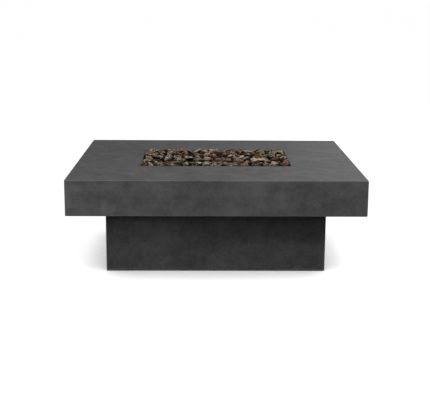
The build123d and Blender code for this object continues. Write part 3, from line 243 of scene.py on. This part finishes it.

# %% [markdown]
# ## Cast concrete
# The slab and base are glass fibre reinforced concrete, cast face down in a mould, so the
# faces are dense and nearly smooth. What gives it away is a cloudy change of tone where the
# pigment spread, long flat streaks where the mix was laid in the mould, sand grain, and small
# pinholes where air stayed at the mould. The sealer leaves a soft sheen, and a painted highlight
# lightens the arrises in places. The clouds and the streaks are noises at their real size, and
# grain and pinholes are also a shallow bump.

# %% Concrete
cloud_mm = 190
blot_mm = 62
streak_mm = 34
streak_stretch = (0.12, 0.35, 1)  # small along the streaks
grit_mm = 18
sand_mm = 5
bubble_mm = 26
highlight_start_mm = 5  # how far inside an arris the painted highlight starts
highlight_full_mm = 2.5  # and how far inside it is at its full


def arris_distance(tree, place, low, high):
    """How far a point lies from the nearest edge of a box, below zero inside it: the middle one
    of its three distances from the faces."""
    middle = [(a + b) / 2 for a, b in zip(low, high)]
    half = [(b - a) / 2 for a, b in zip(low, high)]
    off = add(tree, "VectorMath", {0: place, 1: middle}, operation="SUBTRACT")
    off = add(tree, "VectorMath", {0: off.outputs[0]}, operation="ABSOLUTE")
    off = add(tree, "VectorMath", {0: off.outputs[0], 1: half}, operation="SUBTRACT")
    x, y, z = add(tree, "SeparateXYZ", {0: off.outputs[0]}).outputs
    least = add(tree, "Math", {0: x, 1: y}, operation="MINIMUM")
    most = add(tree, "Math", {0: x, 1: y}, operation="MAXIMUM")
    most = add(tree, "Math", {0: most.outputs[0], 1: z}, operation="MINIMUM")
    return add(tree, "Math", {0: least.outputs[0], 1: most.outputs[0]}, operation="MAXIMUM").outputs[0]


def cast_concrete(name, dark, light, highlight_grey, low, high, gloss):
    """Sealed cast concrete between two greys, with a painted highlight along the arrises of its box."""
    finish, tree, shader, place = new_finish(name, Specular_IOR_Level=gloss)
    clouds = add(
        tree, "TexNoise",
        {"Vector": place, "Scale": per_metre(cloud_mm), "Detail": 3, "Roughness": 0.55},
    )
    blots = add(
        tree, "TexNoise",
        {"Vector": place, "Scale": per_metre(blot_mm), "Detail": 4, "Roughness": 0.6},
    )
    laid = add(tree, "Mapping", {"Vector": place, "Scale": streak_stretch})
    streaks = add(
        tree, "TexNoise",
        {"Vector": laid.outputs[0], "Scale": per_metre(streak_mm), "Detail": 3},
    )
    sand = add(
        tree, "TexNoise",
        {"Vector": place, "Scale": per_metre(sand_mm), "Detail": 3, "Roughness": 0.7},
    )
    grit = add(
        tree, "TexNoise",
        {"Vector": place, "Scale": per_metre(grit_mm), "Detail": 4, "Roughness": 0.6},
    )
    tone = add(tree, "Math", {0: clouds.outputs[0], 1: 0.26}, operation="MULTIPLY")
    for pattern, share in ((blots, 0.26), (streaks, 0.14), (grit, 0.18), (sand, 0.16)):
        tone = add(
            tree, "Math", {0: pattern.outputs[0], 1: share, 2: tone.outputs[0]}, operation="MULTIPLY_ADD"
        )
    spread = add(tree, "MapRange", {"Value": tone.outputs[0], "From Min": 0.42, "From Max": 0.58})
    colour = add(
        tree, "Mix",
        {mix_factor: spread.outputs[0], mix_a: linear(dark), mix_b: linear(light)},
        data_type="RGBA",
    )
    bubbles = add(tree, "TexVoronoi", {"Vector": place, "Scale": per_metre(bubble_mm), "Randomness": 1})
    pinhole = add(
        tree, "MapRange",
        {"Value": bubbles.outputs["Distance"], "From Min": 0.035, "From Max": 0.06, "To Min": 1, "To Max": 0},
    )
    pitted = add(
        tree, "Mix",
        {mix_factor: pinhole.outputs[0], mix_a: colour.outputs[mix_result], mix_b: linear("#2b2b2b")},
        data_type="RGBA",
    )
    # A painted highlight: the arrises are lighter, in places where the clouds are light.
    edge = add(
        tree, "MapRange",
        {
            "Value": arris_distance(tree, place, low, high),
            "From Min": -highlight_start_mm * millimetre,
            "From Max": -highlight_full_mm * millimetre,
        },
    )
    highlight_patches = add(
        tree, "MapRange",
        {"Value": clouds.outputs[0], "From Min": 0.3, "From Max": 0.55, "To Min": 0.35},
    )
    highlight_mask = add(tree, "Math", {0: edge.outputs[0], 1: highlight_patches.outputs[0]}, operation="MULTIPLY")
    worn = add(
        tree, "Mix",
        {mix_factor: highlight_mask.outputs[0], mix_a: pitted.outputs[mix_result], mix_b: linear(highlight_grey)},
        data_type="RGBA",
    )
    tree.links.new(worn.outputs[mix_result], shader.inputs["Base Color"])
    sheen = add(tree, "MapRange", {"Value": clouds.outputs[0], "To Min": 0.66, "To Max": 0.86})
    tree.links.new(sheen.outputs[0], shader.inputs["Roughness"])
    height = add(tree, "Math", {0: sand.outputs[0], 1: pinhole.outputs[0]}, operation="SUBTRACT")
    bump = add(tree, "Bump", {"Height": height.outputs[0], "Strength": 0.35, "Distance": 0.4 * millimetre})
    tree.links.new(bump.outputs[0], shader.inputs["Normal"])
    return finish


# The third grey of each is the painted highlight along the arrises.
slab_concrete = cast_concrete(
    "charcoal_cast_concrete", "#525252", "#6d6d6d", "#7a7a7a", *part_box("table_top"), 0.1
)
# The base is the same concrete as the slab, and its darker greys are painted shade.
shaded_base_concrete = cast_concrete(
    "charcoal_cast_concrete_base_shaded", "#4c4c4c", "#676767", "#767676", *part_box("base_shell"), 0.02
)
print("concrete ready")

# %% [markdown]
# ## Brushed, plated and cast metals
# A metal's colour is its reflection, so Metallic is 1. The fine lines that work leaves on it
# change its tone a little, its roughness and a very shallow bump. A noise that is stretched far
# sideways draws the long level lines of brushed sheet, and one that is stretched less the short
# lines of screws and brass. One that isn't stretched draws the even grain of plated, drawn and
# cast metal. The burner and its pan are stainless too, but the flame has stained them brown.

# %% Brushed, plated and cast metals
stain_mm = 90


def brushed(name, colour, worn, roughness, line_mm, stretch):
    """Metal with fine lines, where stretch is small along them, or an even grain where it's 1."""
    finish, tree, shader, place = new_finish(name, Metallic=1)
    stretched = add(tree, "Mapping", {"Vector": place, "Scale": stretch})
    lines = add(
        tree, "TexNoise",
        {"Vector": stretched.outputs[0], "Scale": per_metre(line_mm), "Detail": 4},
    )
    cloud = add(tree, "TexNoise", {"Vector": place, "Scale": per_metre(stain_mm), "Detail": 2})
    shade = add(tree, "Math", {0: lines.outputs[0], 1: 0.75}, operation="MULTIPLY")
    shade = add(tree, "Math", {0: cloud.outputs[0], 1: 0.25, 2: shade.outputs[0]}, operation="MULTIPLY_ADD")
    shade = add(tree, "MapRange", {"Value": shade.outputs[0], "From Min": 0.35, "From Max": 0.65})
    tint = add(
        tree, "Mix",
        {mix_factor: shade.outputs[0], mix_a: linear(worn), mix_b: linear(colour)},
        data_type="RGBA",
    )
    tree.links.new(tint.outputs[mix_result], shader.inputs["Base Color"])
    rough = add(
        tree, "MapRange",
        {
            "Value": lines.outputs[0],
            "From Min": 0.3,
            "From Max": 0.7,
            "To Min": roughness - 0.08,
            "To Max": roughness + 0.1,
        },
    )
    tree.links.new(rough.outputs[0], shader.inputs["Roughness"])
    bump = add(tree, "Bump", {"Height": lines.outputs[0], "Strength": 0.12, "Distance": 0.05 * millimetre})
    tree.links.new(bump.outputs[0], shader.inputs["Normal"])
    return finish


brushed_stainless = brushed("brushed_stainless_sheet", "#a9aaaa", "#989999", 0.34, 0.8, (0.01, 0.01, 1))
satin_screw = brushed("satin_stainless_screw", "#8c8b88", "#6d6c69", 0.28, 2.5, (1, 0.1, 1))
zinc_plate = brushed("bright_zinc_plate", "#a5a9ad", "#8f9296", 0.42, 9, (1, 1, 1))
drawn_wire = brushed("drawn_spring_wire", "#9a9a9a", "#7f7f7f", 0.3, 0.8, (1, 1, 1))
cast_aluminium = brushed("die_cast_aluminium", "#a3a5a6", "#8c8e90", 0.5, 2.5, (1, 1, 1))
heat_stained = brushed("heat_stained_stainless", "#5f544b", "#3d3530", 0.55, 6, (1, 1, 1))
machined_brass = brushed("machined_brass", "#b5965a", "#94793f", 0.34, 0.9, (1, 1, 0.2))
print("seven brushed, plated and cast metals")

# %% [markdown]
# ## Turned metals
# The knob, its bezel, the igniter's nut and the door's pull come off a lathe, so their lines
# run round the axis. A noise that reads only the distance from the axis draws such rings.

# %% Turned metals
def turned(name, colour, groove, roughness, line_mm, piece):
    """Metal with fine rings round the axis of a piece that was turned along Y."""
    finish, tree, shader, place = new_finish(name, Metallic=1)
    low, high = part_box(piece)
    middle = [(a + b) / 2 for a, b in zip(low, high)]
    off = add(tree, "VectorMath", {0: place, 1: middle}, operation="SUBTRACT")
    across = add(tree, "VectorMath", {0: off.outputs[0], 1: (1, 0, 1)}, operation="MULTIPLY")
    reach = add(tree, "VectorMath", {0: across.outputs[0]}, operation="LENGTH")
    rings = add(
        tree, "TexNoise",
        {"W": reach.outputs["Value"], "Scale": per_metre(line_mm), "Detail": 3},
        noise_dimensions="1D",
    )
    shade = add(tree, "MapRange", {"Value": rings.outputs[0], "From Min": 0.35, "From Max": 0.65})
    tint = add(
        tree, "Mix",
        {mix_factor: shade.outputs[0], mix_a: linear(groove), mix_b: linear(colour)},
        data_type="RGBA",
    )
    tree.links.new(tint.outputs[mix_result], shader.inputs["Base Color"])
    rough = add(
        tree, "MapRange",
        {"Value": rings.outputs[0], "To Min": roughness - 0.06, "To Max": roughness + 0.06},
    )
    tree.links.new(rough.outputs[0], shader.inputs["Roughness"])
    bump = add(tree, "Bump", {"Height": rings.outputs[0], "Strength": 0.2, "Distance": 0.05 * millimetre})
    tree.links.new(bump.outputs[0], shader.inputs["Normal"])
    return finish


turned_aluminium = turned("satin_turned_knob", "#b2b2b4", "#8f8f92", 0.3, 0.8, "control_knob")
turned_bezel = turned("turned_stainless_bezel", "#8f8e8b", "#6c6b68", 0.25, 0.6, "knob_bezel")
turned_nut = turned("turned_stainless_nut", "#969592", "#747370", 0.25, 0.6, "igniter_nut")
turned_pull = turned("turned_stainless_pull", "#969592", "#747370", 0.25, 0.6, "door_knob")
print("four turned metals")

# %% [markdown]
# ## Wire braid
# The gas hose wears a sleeve of fine steel wire. Two waves that slant in opposite directions
# draw its crossing strands, and the gaps between the strands are darker, rougher and deeper.

# %% Wire braid
def braided(name, colour, shadow, roughness, strand_mm):
    """A sleeve of fine steel wire, where two slanting sets of strands cross."""
    finish, tree, shader, place = new_finish(name, Metallic=1)
    strands = []
    for side in (1, -1):
        slanted = add(tree, "Mapping", {"Vector": place, "Scale": (side, 1, 1)})
        strands.append(add(
            tree, "TexWave",
            {"Vector": slanted.outputs[0], "Scale": per_metre(strand_mm), "Distortion": 0},
            bands_direction="DIAGONAL",
        ))
    weave = add(
        tree, "Math",
        {0: strands[0].outputs["Fac"], 1: strands[1].outputs["Fac"]},
        operation="MAXIMUM",
    )
    tint = add(
        tree, "Mix",
        {mix_factor: weave.outputs[0], mix_a: linear(shadow), mix_b: linear(colour)},
        data_type="RGBA",
    )
    tree.links.new(tint.outputs[mix_result], shader.inputs["Base Color"])
    rough = add(
        tree, "MapRange",
        {"Value": weave.outputs[0], "To Min": roughness + 0.15, "To Max": roughness},
    )
    tree.links.new(rough.outputs[0], shader.inputs["Roughness"])
    bump = add(tree, "Bump", {"Height": weave.outputs[0], "Strength": 0.6, "Distance": 0.3 * millimetre})
    tree.links.new(bump.outputs[0], shader.inputs["Normal"])
    return finish


wire_braid = braided("stainless_wire_braid", "#a3a29f", "#55544f", 0.35, 9)
print("one wire braid")

# %% [markdown]
# ## Moulded and fired materials
# Rubber, plastic, silicone, ceramic, the ferrite of the door magnet and the painted sleeve of
# the battery are not metals. Each has one colour with a little dust on it, so the eye reads
# them by their sheen and their fine grain.

# %% Moulded materials
dust_to_grain = 14  # how many times larger a dusty patch is than the grain


def moulded(name, colour, dusty, roughness, grain_mm, depth_mm, ior=1.5):
    """A moulded, fired or painted surface with a fine grain."""
    finish, tree, shader, place = new_finish(name, IOR=ior)
    dust_mm = grain_mm * dust_to_grain
    grain = add(tree, "TexNoise", {"Vector": place, "Scale": per_metre(grain_mm), "Detail": 3})
    dust = add(tree, "TexNoise", {"Vector": place, "Scale": per_metre(dust_mm), "Detail": 3})
    tint = add(
        tree, "Mix",
        {mix_factor: dust.outputs[0], mix_a: linear(colour), mix_b: linear(dusty)},
        data_type="RGBA",
    )
    tree.links.new(tint.outputs[mix_result], shader.inputs["Base Color"])
    rough = add(
        tree, "MapRange",
        {"Value": dust.outputs[0], "To Min": roughness - 0.07, "To Max": roughness + 0.07},
    )
    tree.links.new(rough.outputs[0], shader.inputs["Roughness"])
    bump = add(tree, "Bump", {"Height": grain.outputs[0], "Strength": 0.4, "Distance": depth_mm * millimetre})
    tree.links.new(bump.outputs[0], shader.inputs["Normal"])
    return finish


black_rubber = moulded("moulded_black_rubber", "#141414", "#232321", 0.82, 1.2, 0.1)
black_abs = moulded("moulded_black_abs", "#17181a", "#212225", 0.45, 0.8, 0.05)
red_silicone = moulded("red_silicone_jacket", "#7c1f17", "#8e3124", 0.5, 1.5, 0.03, 1.41)
white_alumina = moulded("unglazed_alumina", "#dcd7ca", "#cbc3b2", 0.6, 0.7, 0.05, 1.76)
ferrite = moulded("sintered_ferrite", "#2b2929", "#3a3736", 0.6, 0.6, 0.05)
painted_sleeve = moulded("painted_cell_sleeve", "#1c1d1f", "#2a2b2e", 0.35, 2.0, 0.02)
print("six moulded materials")

# %% [markdown]
# ## Lava rock
# Scoria is a basalt froth: brown to grey, with a rough, pitted skin. Painted light and shade make
# its tops lighter than its sides. Each stone has its own tone, so every stone carries a number that
# the material reads. Pits of two sizes are cells of a Voronoi pattern, both darker and deeper. The
# gaps between the stones, and what lies deep in the bed, are painted shade, darker still.

# %% Scoria
stone_colours = ["#40342c", "#a8836a", "#ecd2b8", "#ffe2be", "#7a6656", "#fff0d8", "#c89a76", "#f6e4d0"]
skin_mm = 17
froth_mm = 5
pit_kinds = ((5.5, 0.5, 0.85), (13, 0.33, 0.8))  # pitch in mm, reach of the rim, and darkness
pit_waver = 6 * millimetre
side_shade = 0.86  # how much darker the sides of a stone are painted than its top: painted shade
gap_reach = 22 * millimetre
dark_depth_mm = 21  # under the top of the bed, where the painted shade is darkest
light_depth_mm = 6  # under the top of the bed, where the painted shade ends


def scoria(name):
    """Rough brown and grey lava rock, with a tone for each stone."""
    finish, tree, shader, place = new_finish(name, Roughness=0.95, Specular_IOR_Level=0.1)
    own_tone = add(tree, "Attribute", attribute_name="stone_tone").outputs["Fac"]
    skin = add(
        tree, "TexNoise",
        {
            "Vector": place,
            "Scale": per_metre(skin_mm),
            "Detail": 6,
            "Roughness": 0.65,
            "Distortion": 1.2,
        },
    )
    brown = add(tree, "ValToRGB", {"Fac": own_tone})
    stops = brown.color_ramp.elements
    stops[0].color, stops[1].color = linear(stone_colours[0]), linear(stone_colours[-1])
    for step in range(1, len(stone_colours) - 1):
        stops.new(step / (len(stone_colours) - 1)).color = linear(stone_colours[step])
    patch = add(tree, "MapRange", {"Value": skin.outputs[0], "From Min": 0.38, "From Max": 0.57})
    worn = add(
        tree, "Mix",
        {mix_factor: patch.outputs[0], mix_a: linear("#30261d"), mix_b: brown.outputs["Color"]},
        data_type="RGBA",
    )
    # Painted light and shade: faces that point up keep the stone's tone, and the sides are darker.
    upwards = add(tree, "SeparateXYZ", {0: add(tree, "NewGeometry").outputs["Normal"]})
    dusty = add(tree, "MapRange", {"Value": upwards.outputs["Z"], "From Min": 0.1, "From Max": 0.85})
    shaded_sides = add(
        tree, "Mix",
        {mix_factor: side_shade, mix_a: worn.outputs[mix_result], mix_b: linear("#18120e")},
        data_type="RGBA",
    )
    facing_shade = add(
        tree, "Mix",
        {mix_factor: dusty.outputs[0], mix_a: shaded_sides.outputs[mix_result], mix_b: worn.outputs[mix_result]},
        data_type="RGBA",
    )
    froth = add(tree, "TexNoise", {"Vector": place, "Scale": per_metre(froth_mm), "Detail": 2})
    stirred = add(tree, "VectorMath", {0: froth.outputs["Color"], "Scale": pit_waver}, operation="SCALE")
    stirred = add(tree, "VectorMath", {0: stirred.outputs[0], 1: place}, operation="ADD")
    holes = []
    for pitch_mm, rim_reach, darkness in pit_kinds:
        cells = add(tree, "TexVoronoi", {"Vector": stirred.outputs[0], "Scale": per_metre(pitch_mm)})
        holes.append(add(
            tree, "MapRange",
            {
                "Value": cells.outputs["Distance"],
                "From Min": 0.1,
                "From Max": rim_reach,
                "To Min": darkness,
                "To Max": 0,
            },
        ))
    pit = add(tree, "Math", {0: holes[0].outputs[0], 1: holes[1].outputs[0]}, operation="MAXIMUM")
    pitted = add(
        tree, "Mix",
        {mix_factor: pit.outputs[0], mix_a: facing_shade.outputs[mix_result], mix_b: linear("#15100c")},
        data_type="RGBA",
    )
    # Painted shade: a stone is darker in the gaps, by ambient occlusion, and deep in the bed.
    gaps = add(tree, "AmbientOcclusion", {"Distance": gap_reach})
    gap_shade = add(tree, "MapRange", {"Value": gaps.outputs["AO"], "From Min": 0.6, "From Max": 0.94})
    bed_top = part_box("lava_rocks_top")[1][2]
    sunk = add(
        tree, "MapRange",
        {
            "Value": add(tree, "SeparateXYZ", {0: place}).outputs["Z"],
            "From Min": bed_top - dark_depth_mm * millimetre,
            "From Max": bed_top - light_depth_mm * millimetre,
            "To Min": 0.04,
        },
    )
    lit = add(tree, "Math", {0: gap_shade.outputs[0], 1: sunk.outputs[0]}, operation="MULTIPLY")
    bed_shaded = add(
        tree, "Mix",
        {mix_factor: lit.outputs[0], mix_a: linear("#0c0907"), mix_b: pitted.outputs[mix_result]},
        data_type="RGBA",
    )
    tree.links.new(bed_shaded.outputs[mix_result], shader.inputs["Base Color"])
    height = add(tree, "Math", {0: skin.outputs[0], 1: pit.outputs[0]}, operation="SUBTRACT")
    bump = add(tree, "Bump", {"Height": height.outputs[0], "Strength": 1, "Distance": 2 * millimetre})
    tree.links.new(bump.outputs[0], shader.inputs["Normal"])
    return finish


lava_rock = scoria("scoria_lava_rock")
print("lava rock ready")

# %% [markdown]
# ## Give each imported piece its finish
# The record names a material slot for each piece, so one table from slot to finish covers all
# of them, and only the pieces that differ from their slot are named one by one.

# %% Finishes by slot
slot_finishes = {
    "concrete": slab_concrete,
    "lava_rock": lava_rock,
    "stainless": brushed_stainless,
    "zinc_steel": zinc_plate,
    "spring_steel": drawn_wire,
    "magnet": ferrite,
    "aluminium": cast_aluminium,
    "machined_aluminium": turned_aluminium,
    "brass": machined_brass,
    "rubber": black_rubber,
    "black_plastic": black_abs,
    "lead_jacket": red_silicone,
    "ceramic": white_alumina,
    "battery_can": painted_sleeve,
}
own_finishes = {
    "base_shell": shaded_base_concrete,
    "burner_pan": heat_stained,
    "burner": heat_stained,
    "burner_hose": wire_braid,
    "knob_bezel": turned_bezel,
    "igniter_nut": turned_nut,
    "door_knob": turned_pull,
    "panel_screws": satin_screw,
    "inlet_screws": satin_screw,
    "frame_screws": satin_screw,
    "vent_screws": satin_screw,
    "hinge_pins": satin_screw,
}


def dress(piece, finish):
    """Gives a piece one material in place of what it has."""
    piece.data.materials.clear()
    piece.data.materials.append(finish)


for subpart in frame["record"]["subparts"]:
    name = subpart["node"]
    dress(frame["nodes"][name], own_finishes.get(name, slot_finishes[subpart["material_slot"]]))

# %% [markdown]
# ## Master stones
# A broken piece of scoria has a few flat broken sides and a lumpy skin. One stone is made as a
# mason would: a round blank is cut by planes, its skin is evened out by a voxel remesh, and two
# cloud textures push it in and out. Sixteen such stones are enough, because each copy is turned
# and sized anew: eight with many faces for the top of the bed, and eight with fewer faces for
# the stones below and between them.

# %% Make the master stones
blank_radius_mm = 24
cut_count = 11
cut_reach_mm = (12, 19)  # of a cutting plane from the middle of the blank
skin_cell_mm = 2
lump_depth_mm = 6
chip_depth_mm = 5
fine_triangles = 900
plain_triangles = 380
first_seed = 100


def cloud_texture(name, size_mm):
    """A cloudy texture for the Displace modifier."""
    texture = bpy.data.textures.new(name, "CLOUDS")
    texture.noise_scale = size_mm * millimetre
    texture.noise_depth = 3
    return texture


lump_texture = cloud_texture("scoria_lumps", 16)
chip_texture = cloud_texture("scoria_chips", 6)


def only(piece):
    """Makes one object the selected and active one."""
    bpy.ops.object.select_all(action="DESELECT")
    piece.select_set(True)
    bpy.context.view_layer.objects.active = piece


def random_direction(dice):
    """A direction drawn evenly from all directions."""
    return Vector((dice.gauss(0, 1), dice.gauss(0, 1), dice.gauss(0, 1))).normalized()


def master_stone(number, triangles):
    """A lump of scoria at the origin, with about this many triangles."""
    dice = random.Random(first_seed + number)
    bpy.ops.object.select_all(action="DESELECT")
    bpy.ops.mesh.primitive_ico_sphere_add(subdivisions=3, radius=blank_radius_mm * millimetre)
    stone = bpy.context.object
    stone.name = f"master_stone_{number}"
    bpy.ops.object.mode_set(mode="EDIT")
    bpy.ops.mesh.select_all(action="SELECT")
    bpy.ops.transform.resize(value=(dice.uniform(1.1, 1.6), 1, dice.uniform(0.7, 0.9)))
    for _ in range(cut_count):
        normal = random_direction(dice)
        bpy.ops.mesh.select_all(action="SELECT")
        bpy.ops.mesh.bisect(
            plane_co=normal * dice.uniform(*cut_reach_mm) * millimetre,
            plane_no=normal,
            use_fill=True,
            clear_outer=True,
        )
    bpy.ops.object.mode_set(mode="OBJECT")
    skin = stone.modifiers.new("even_skin", "REMESH")
    skin.mode = "VOXEL"
    skin.voxel_size = skin_cell_mm * millimetre
    for texture, depth_mm in ((lump_texture, lump_depth_mm), (chip_texture, chip_depth_mm)):
        push = stone.modifiers.new(texture.name, "DISPLACE")
        push.texture = texture
        push.texture_coords = "LOCAL"
        push.strength = depth_mm * millimetre
        push.mid_level = 0.5
    only(stone)
    for modifier in list(stone.modifiers):
        bpy.ops.object.modifier_apply(modifier=modifier.name)
    fewer = stone.modifiers.new("fewer_faces", "DECIMATE")
    fewer.ratio = triangles / (2 * len(stone.data.polygons))
    bpy.ops.object.modifier_apply(modifier=fewer.name)
    return stone


masters = [master_stone(number, fine_triangles) for number in range(8)]
small_masters = [master_stone(number, plain_triangles) for number in range(8, 16)]
print("master stones have", [len(m.data.polygons) for m in masters + small_masters], "faces")

# %% [markdown]
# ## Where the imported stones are
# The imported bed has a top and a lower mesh, and each holds many plain stones. A copy of each
# is taken apart, the box of each stone is read, and the pieces are thrown away again.

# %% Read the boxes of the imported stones
weld_gap = 0.01 * millimetre


def box_of(mesh):
    """The lowest and highest corner of a mesh."""
    points = [v.co for v in mesh.vertices]
    return (
        Vector(min(p[i] for p in points) for i in range(3)),
        Vector(max(p[i] for p in points) for i in range(3)),
    )


def stone_boxes(node_name):
    """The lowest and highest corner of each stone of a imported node."""
    packed = frame["nodes"][node_name]
    copy = packed.copy()
    copy.data = packed.data.copy()
    copy.name = "stones_to_measure"
    scene.collection.objects.link(copy)
    only(copy)
    bpy.ops.object.mode_set(mode="EDIT")
    bpy.ops.mesh.select_all(action="SELECT")
    bpy.ops.mesh.remove_doubles(threshold=weld_gap)
    bpy.ops.mesh.separate(type="LOOSE")
    bpy.ops.object.mode_set(mode="OBJECT")
    boxes = []
    for piece in list(bpy.context.selected_objects):
        boxes.append(box_of(piece.data))
        bpy.data.objects.remove(piece)
    boxes.sort(key=lambda b: tuple(round(v, 5) for v in b[0]))
    return boxes


top_boxes = stone_boxes("lava_rocks_top")
lower_boxes = stone_boxes("lava_rocks_lower")
print(len(top_boxes), "stones on top and", len(lower_boxes), "below")

# %% [markdown]
# ## The bed of stones
# Each packed stone's place gets a copy of a master stone, turned at random, about as large as
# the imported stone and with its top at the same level. A copy that would reach past the packed
# bed is moved back in. So the bed keeps its level and its number of stones, and stays in place.

# %% Copy the masters to those places
lean_limit = 20  # degrees
stray_mm = 11  # of a stone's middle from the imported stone's middle
crease_angle = math.radians(25)
top_seed = 5
lower_seed = 6


def fitted_stone(master, size, dice, middle, top, well):
    """A copy of a master stone at a size, turned at random, with its top at a level in the well."""
    mesh = master.data.copy()
    mesh.transform(Matrix.Rotation(dice.uniform(0, math.tau), 4, random_direction(dice)))
    small, large = box_of(mesh)
    fit = [size[i] / (large[i] - small[i]) for i in range(3)]
    mesh.transform(Matrix.Diagonal((*fit, 1)) @ Matrix.Translation(-(small + large) / 2))
    lean = Matrix.Rotation(math.radians(dice.uniform(-lean_limit, lean_limit)), 4, "Y")
    yaw = Matrix.Rotation(dice.uniform(0, math.tau), 4, "Z")
    mesh.transform(yaw @ lean)
    small, large = box_of(mesh)
    place = Vector((*middle, top - (large.z - small.z) / 2))
    for i in range(2):
        half = (large[i] - small[i]) / 2
        place[i] = max(well[0][i] + half, min(well[1][i] - half, place[i]))
    mesh.transform(Matrix.Translation(place - (small + large) / 2))
    attribute = mesh.attributes.new("stone_tone", "FLOAT", "POINT")
    attribute.data.foreach_set("value", [dice.random()] * len(mesh.vertices))
    return mesh


def joined_stones(name, meshes):
    """One object that holds all the stones, riding on the table."""
    bpy.ops.object.select_all(action="DESELECT")
    for mesh in meshes:
        stone = bpy.data.objects.new(name, mesh)
        scene.collection.objects.link(stone)
        stone.select_set(True)
        bpy.context.view_layer.objects.active = stone
    bpy.ops.object.join()
    bed = bpy.context.object
    bed.name = name
    dress(bed, lava_rock)
    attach(bed, "table")
    bpy.ops.object.shade_smooth_by_angle(angle=crease_angle)
    print(name, "has", len(meshes), "stones and", len(bed.data.polygons), "faces")
    return bed


def bed_in_boxes(name, stones, boxes, seed):
    """A stone near the middle of each packed stone, about as large, and the box of them all."""
    dice = random.Random(seed)
    well = [
        Vector(pick(b[side][i] for b in boxes) for i in range(3))
        for side, pick in ((0, min), (1, max))
    ]
    meshes = []
    for low, high in boxes:
        width = high.x - low.x
        size = (
            width * dice.uniform(1, 1.5),
            width * dice.uniform(0.75, 1),
            (high.z - low.z) * dice.uniform(0.85, 1),
        )
        middle = [
            (low[i] + high[i]) / 2 + dice.uniform(-stray_mm, stray_mm) * millimetre
            for i in range(2)
        ]
        meshes.append(fitted_stone(dice.choice(stones), size, dice, middle, high.z, well))
    return joined_stones(name, meshes), well


top_bed, well = bed_in_boxes("scoria_bed", masters, top_boxes, top_seed)
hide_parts("lava_rocks_top")
lower_bed, _ = bed_in_boxes("scoria_bed_lower", small_masters, lower_boxes, lower_seed)
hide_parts("lava_rocks_lower")

# %% [markdown]
# ## Stones strewn over the bed
# Poured lava rock closes up, so smaller and longer stones lie between the fitted ones: first a
# row along the back and the sides of the well, then loose ones at random spots, and last some
# fillers lower down, which help to hide the pan.

# %% Strew smaller stones over the bed
long_stone_mm = ((38, 78), (22, 36), (19, 29))  # least and most length, width and height
rim_pitch_mm = 32
filler_pitch_mm = 20
strewn_count = 128  # along the rim and loose together
filler_count = 80
rim_depth_mm = (0, 2)
loose_depth_mm = (0, 13)
filler_depth_mm = (12, 19)
strewn_seed = 8
filler_seed = 9


def along(start, end, spacing_mm):
    """Evenly spaced spots on a line, half a space in from its ends."""
    count = round((end - start).length / (spacing_mm * millimetre))
    return [start.lerp(end, (k + 0.5) / count) for k in range(count)]


def free_spots(taken, count, spacing_mm, dice):
    """That many new spots in the well, none nearer than the spacing to another one."""
    spots = list(taken)
    while len(spots) < len(taken) + count:
        spot = Vector((dice.uniform(well[0].x, well[1].x), dice.uniform(well[0].y, well[1].y)))
        if all((spot - other).length > spacing_mm * millimetre for other in spots):
            spots.append(spot)
    return spots[len(taken) :]


def long_stones(spots, depth_mm, dice):
    """A long small stone at each spot, with its top at some depth under the top of the bed."""
    meshes = []
    for spot in spots:
        size = [dice.uniform(*reach) * millimetre for reach in long_stone_mm]
        top = well[1].z - dice.uniform(*depth_mm) * millimetre
        meshes.append(fitted_stone(dice.choice(small_masters), size, dice, spot, top, well))
    return meshes


front_left, back_right = well[0].xy, well[1].xy
back_left = Vector((well[0].x, well[1].y))
front_right = Vector((well[1].x, well[0].y))
rim = along(back_left, back_right, rim_pitch_mm) + along(front_left, back_left, rim_pitch_mm)
rim += along(front_right, back_right, rim_pitch_mm)
dice = random.Random(strewn_seed)
loose = free_spots(rim, strewn_count - len(rim), rim_pitch_mm, dice)
strewn = long_stones(rim, rim_depth_mm, dice) + long_stones(loose, loose_depth_mm, dice)
dice = random.Random(filler_seed)
fillers = free_spots(rim + loose, filler_count, filler_pitch_mm, dice)
strewn += long_stones(fillers, filler_depth_mm, dice)
joined_stones("scoria_strewn", strewn)
for master in masters + small_masters:
    bpy.data.objects.remove(master)

# %% [markdown]
# ## Copies of the springs
# The knob and the igniter button each press a coil spring. An imported piece keeps its shape at
# every pose. An exact copy of each spring, riding on the table, takes the place of the imported
# one, which is hidden.


def pressed_spring(name, packed_name):
    """A copy of a packed spring that rides on the table, in place of the packed one."""
    spring = bpy.data.objects.new(name, frame["nodes"][packed_name].data.copy())
    scene.collection.objects.link(spring)
    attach(spring, "table")
    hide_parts(packed_name)
    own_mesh(spring)


pressed_spring("stem_spring_coil", "stem_spring")
pressed_spring("igniter_spring_coil", "igniter_spring")
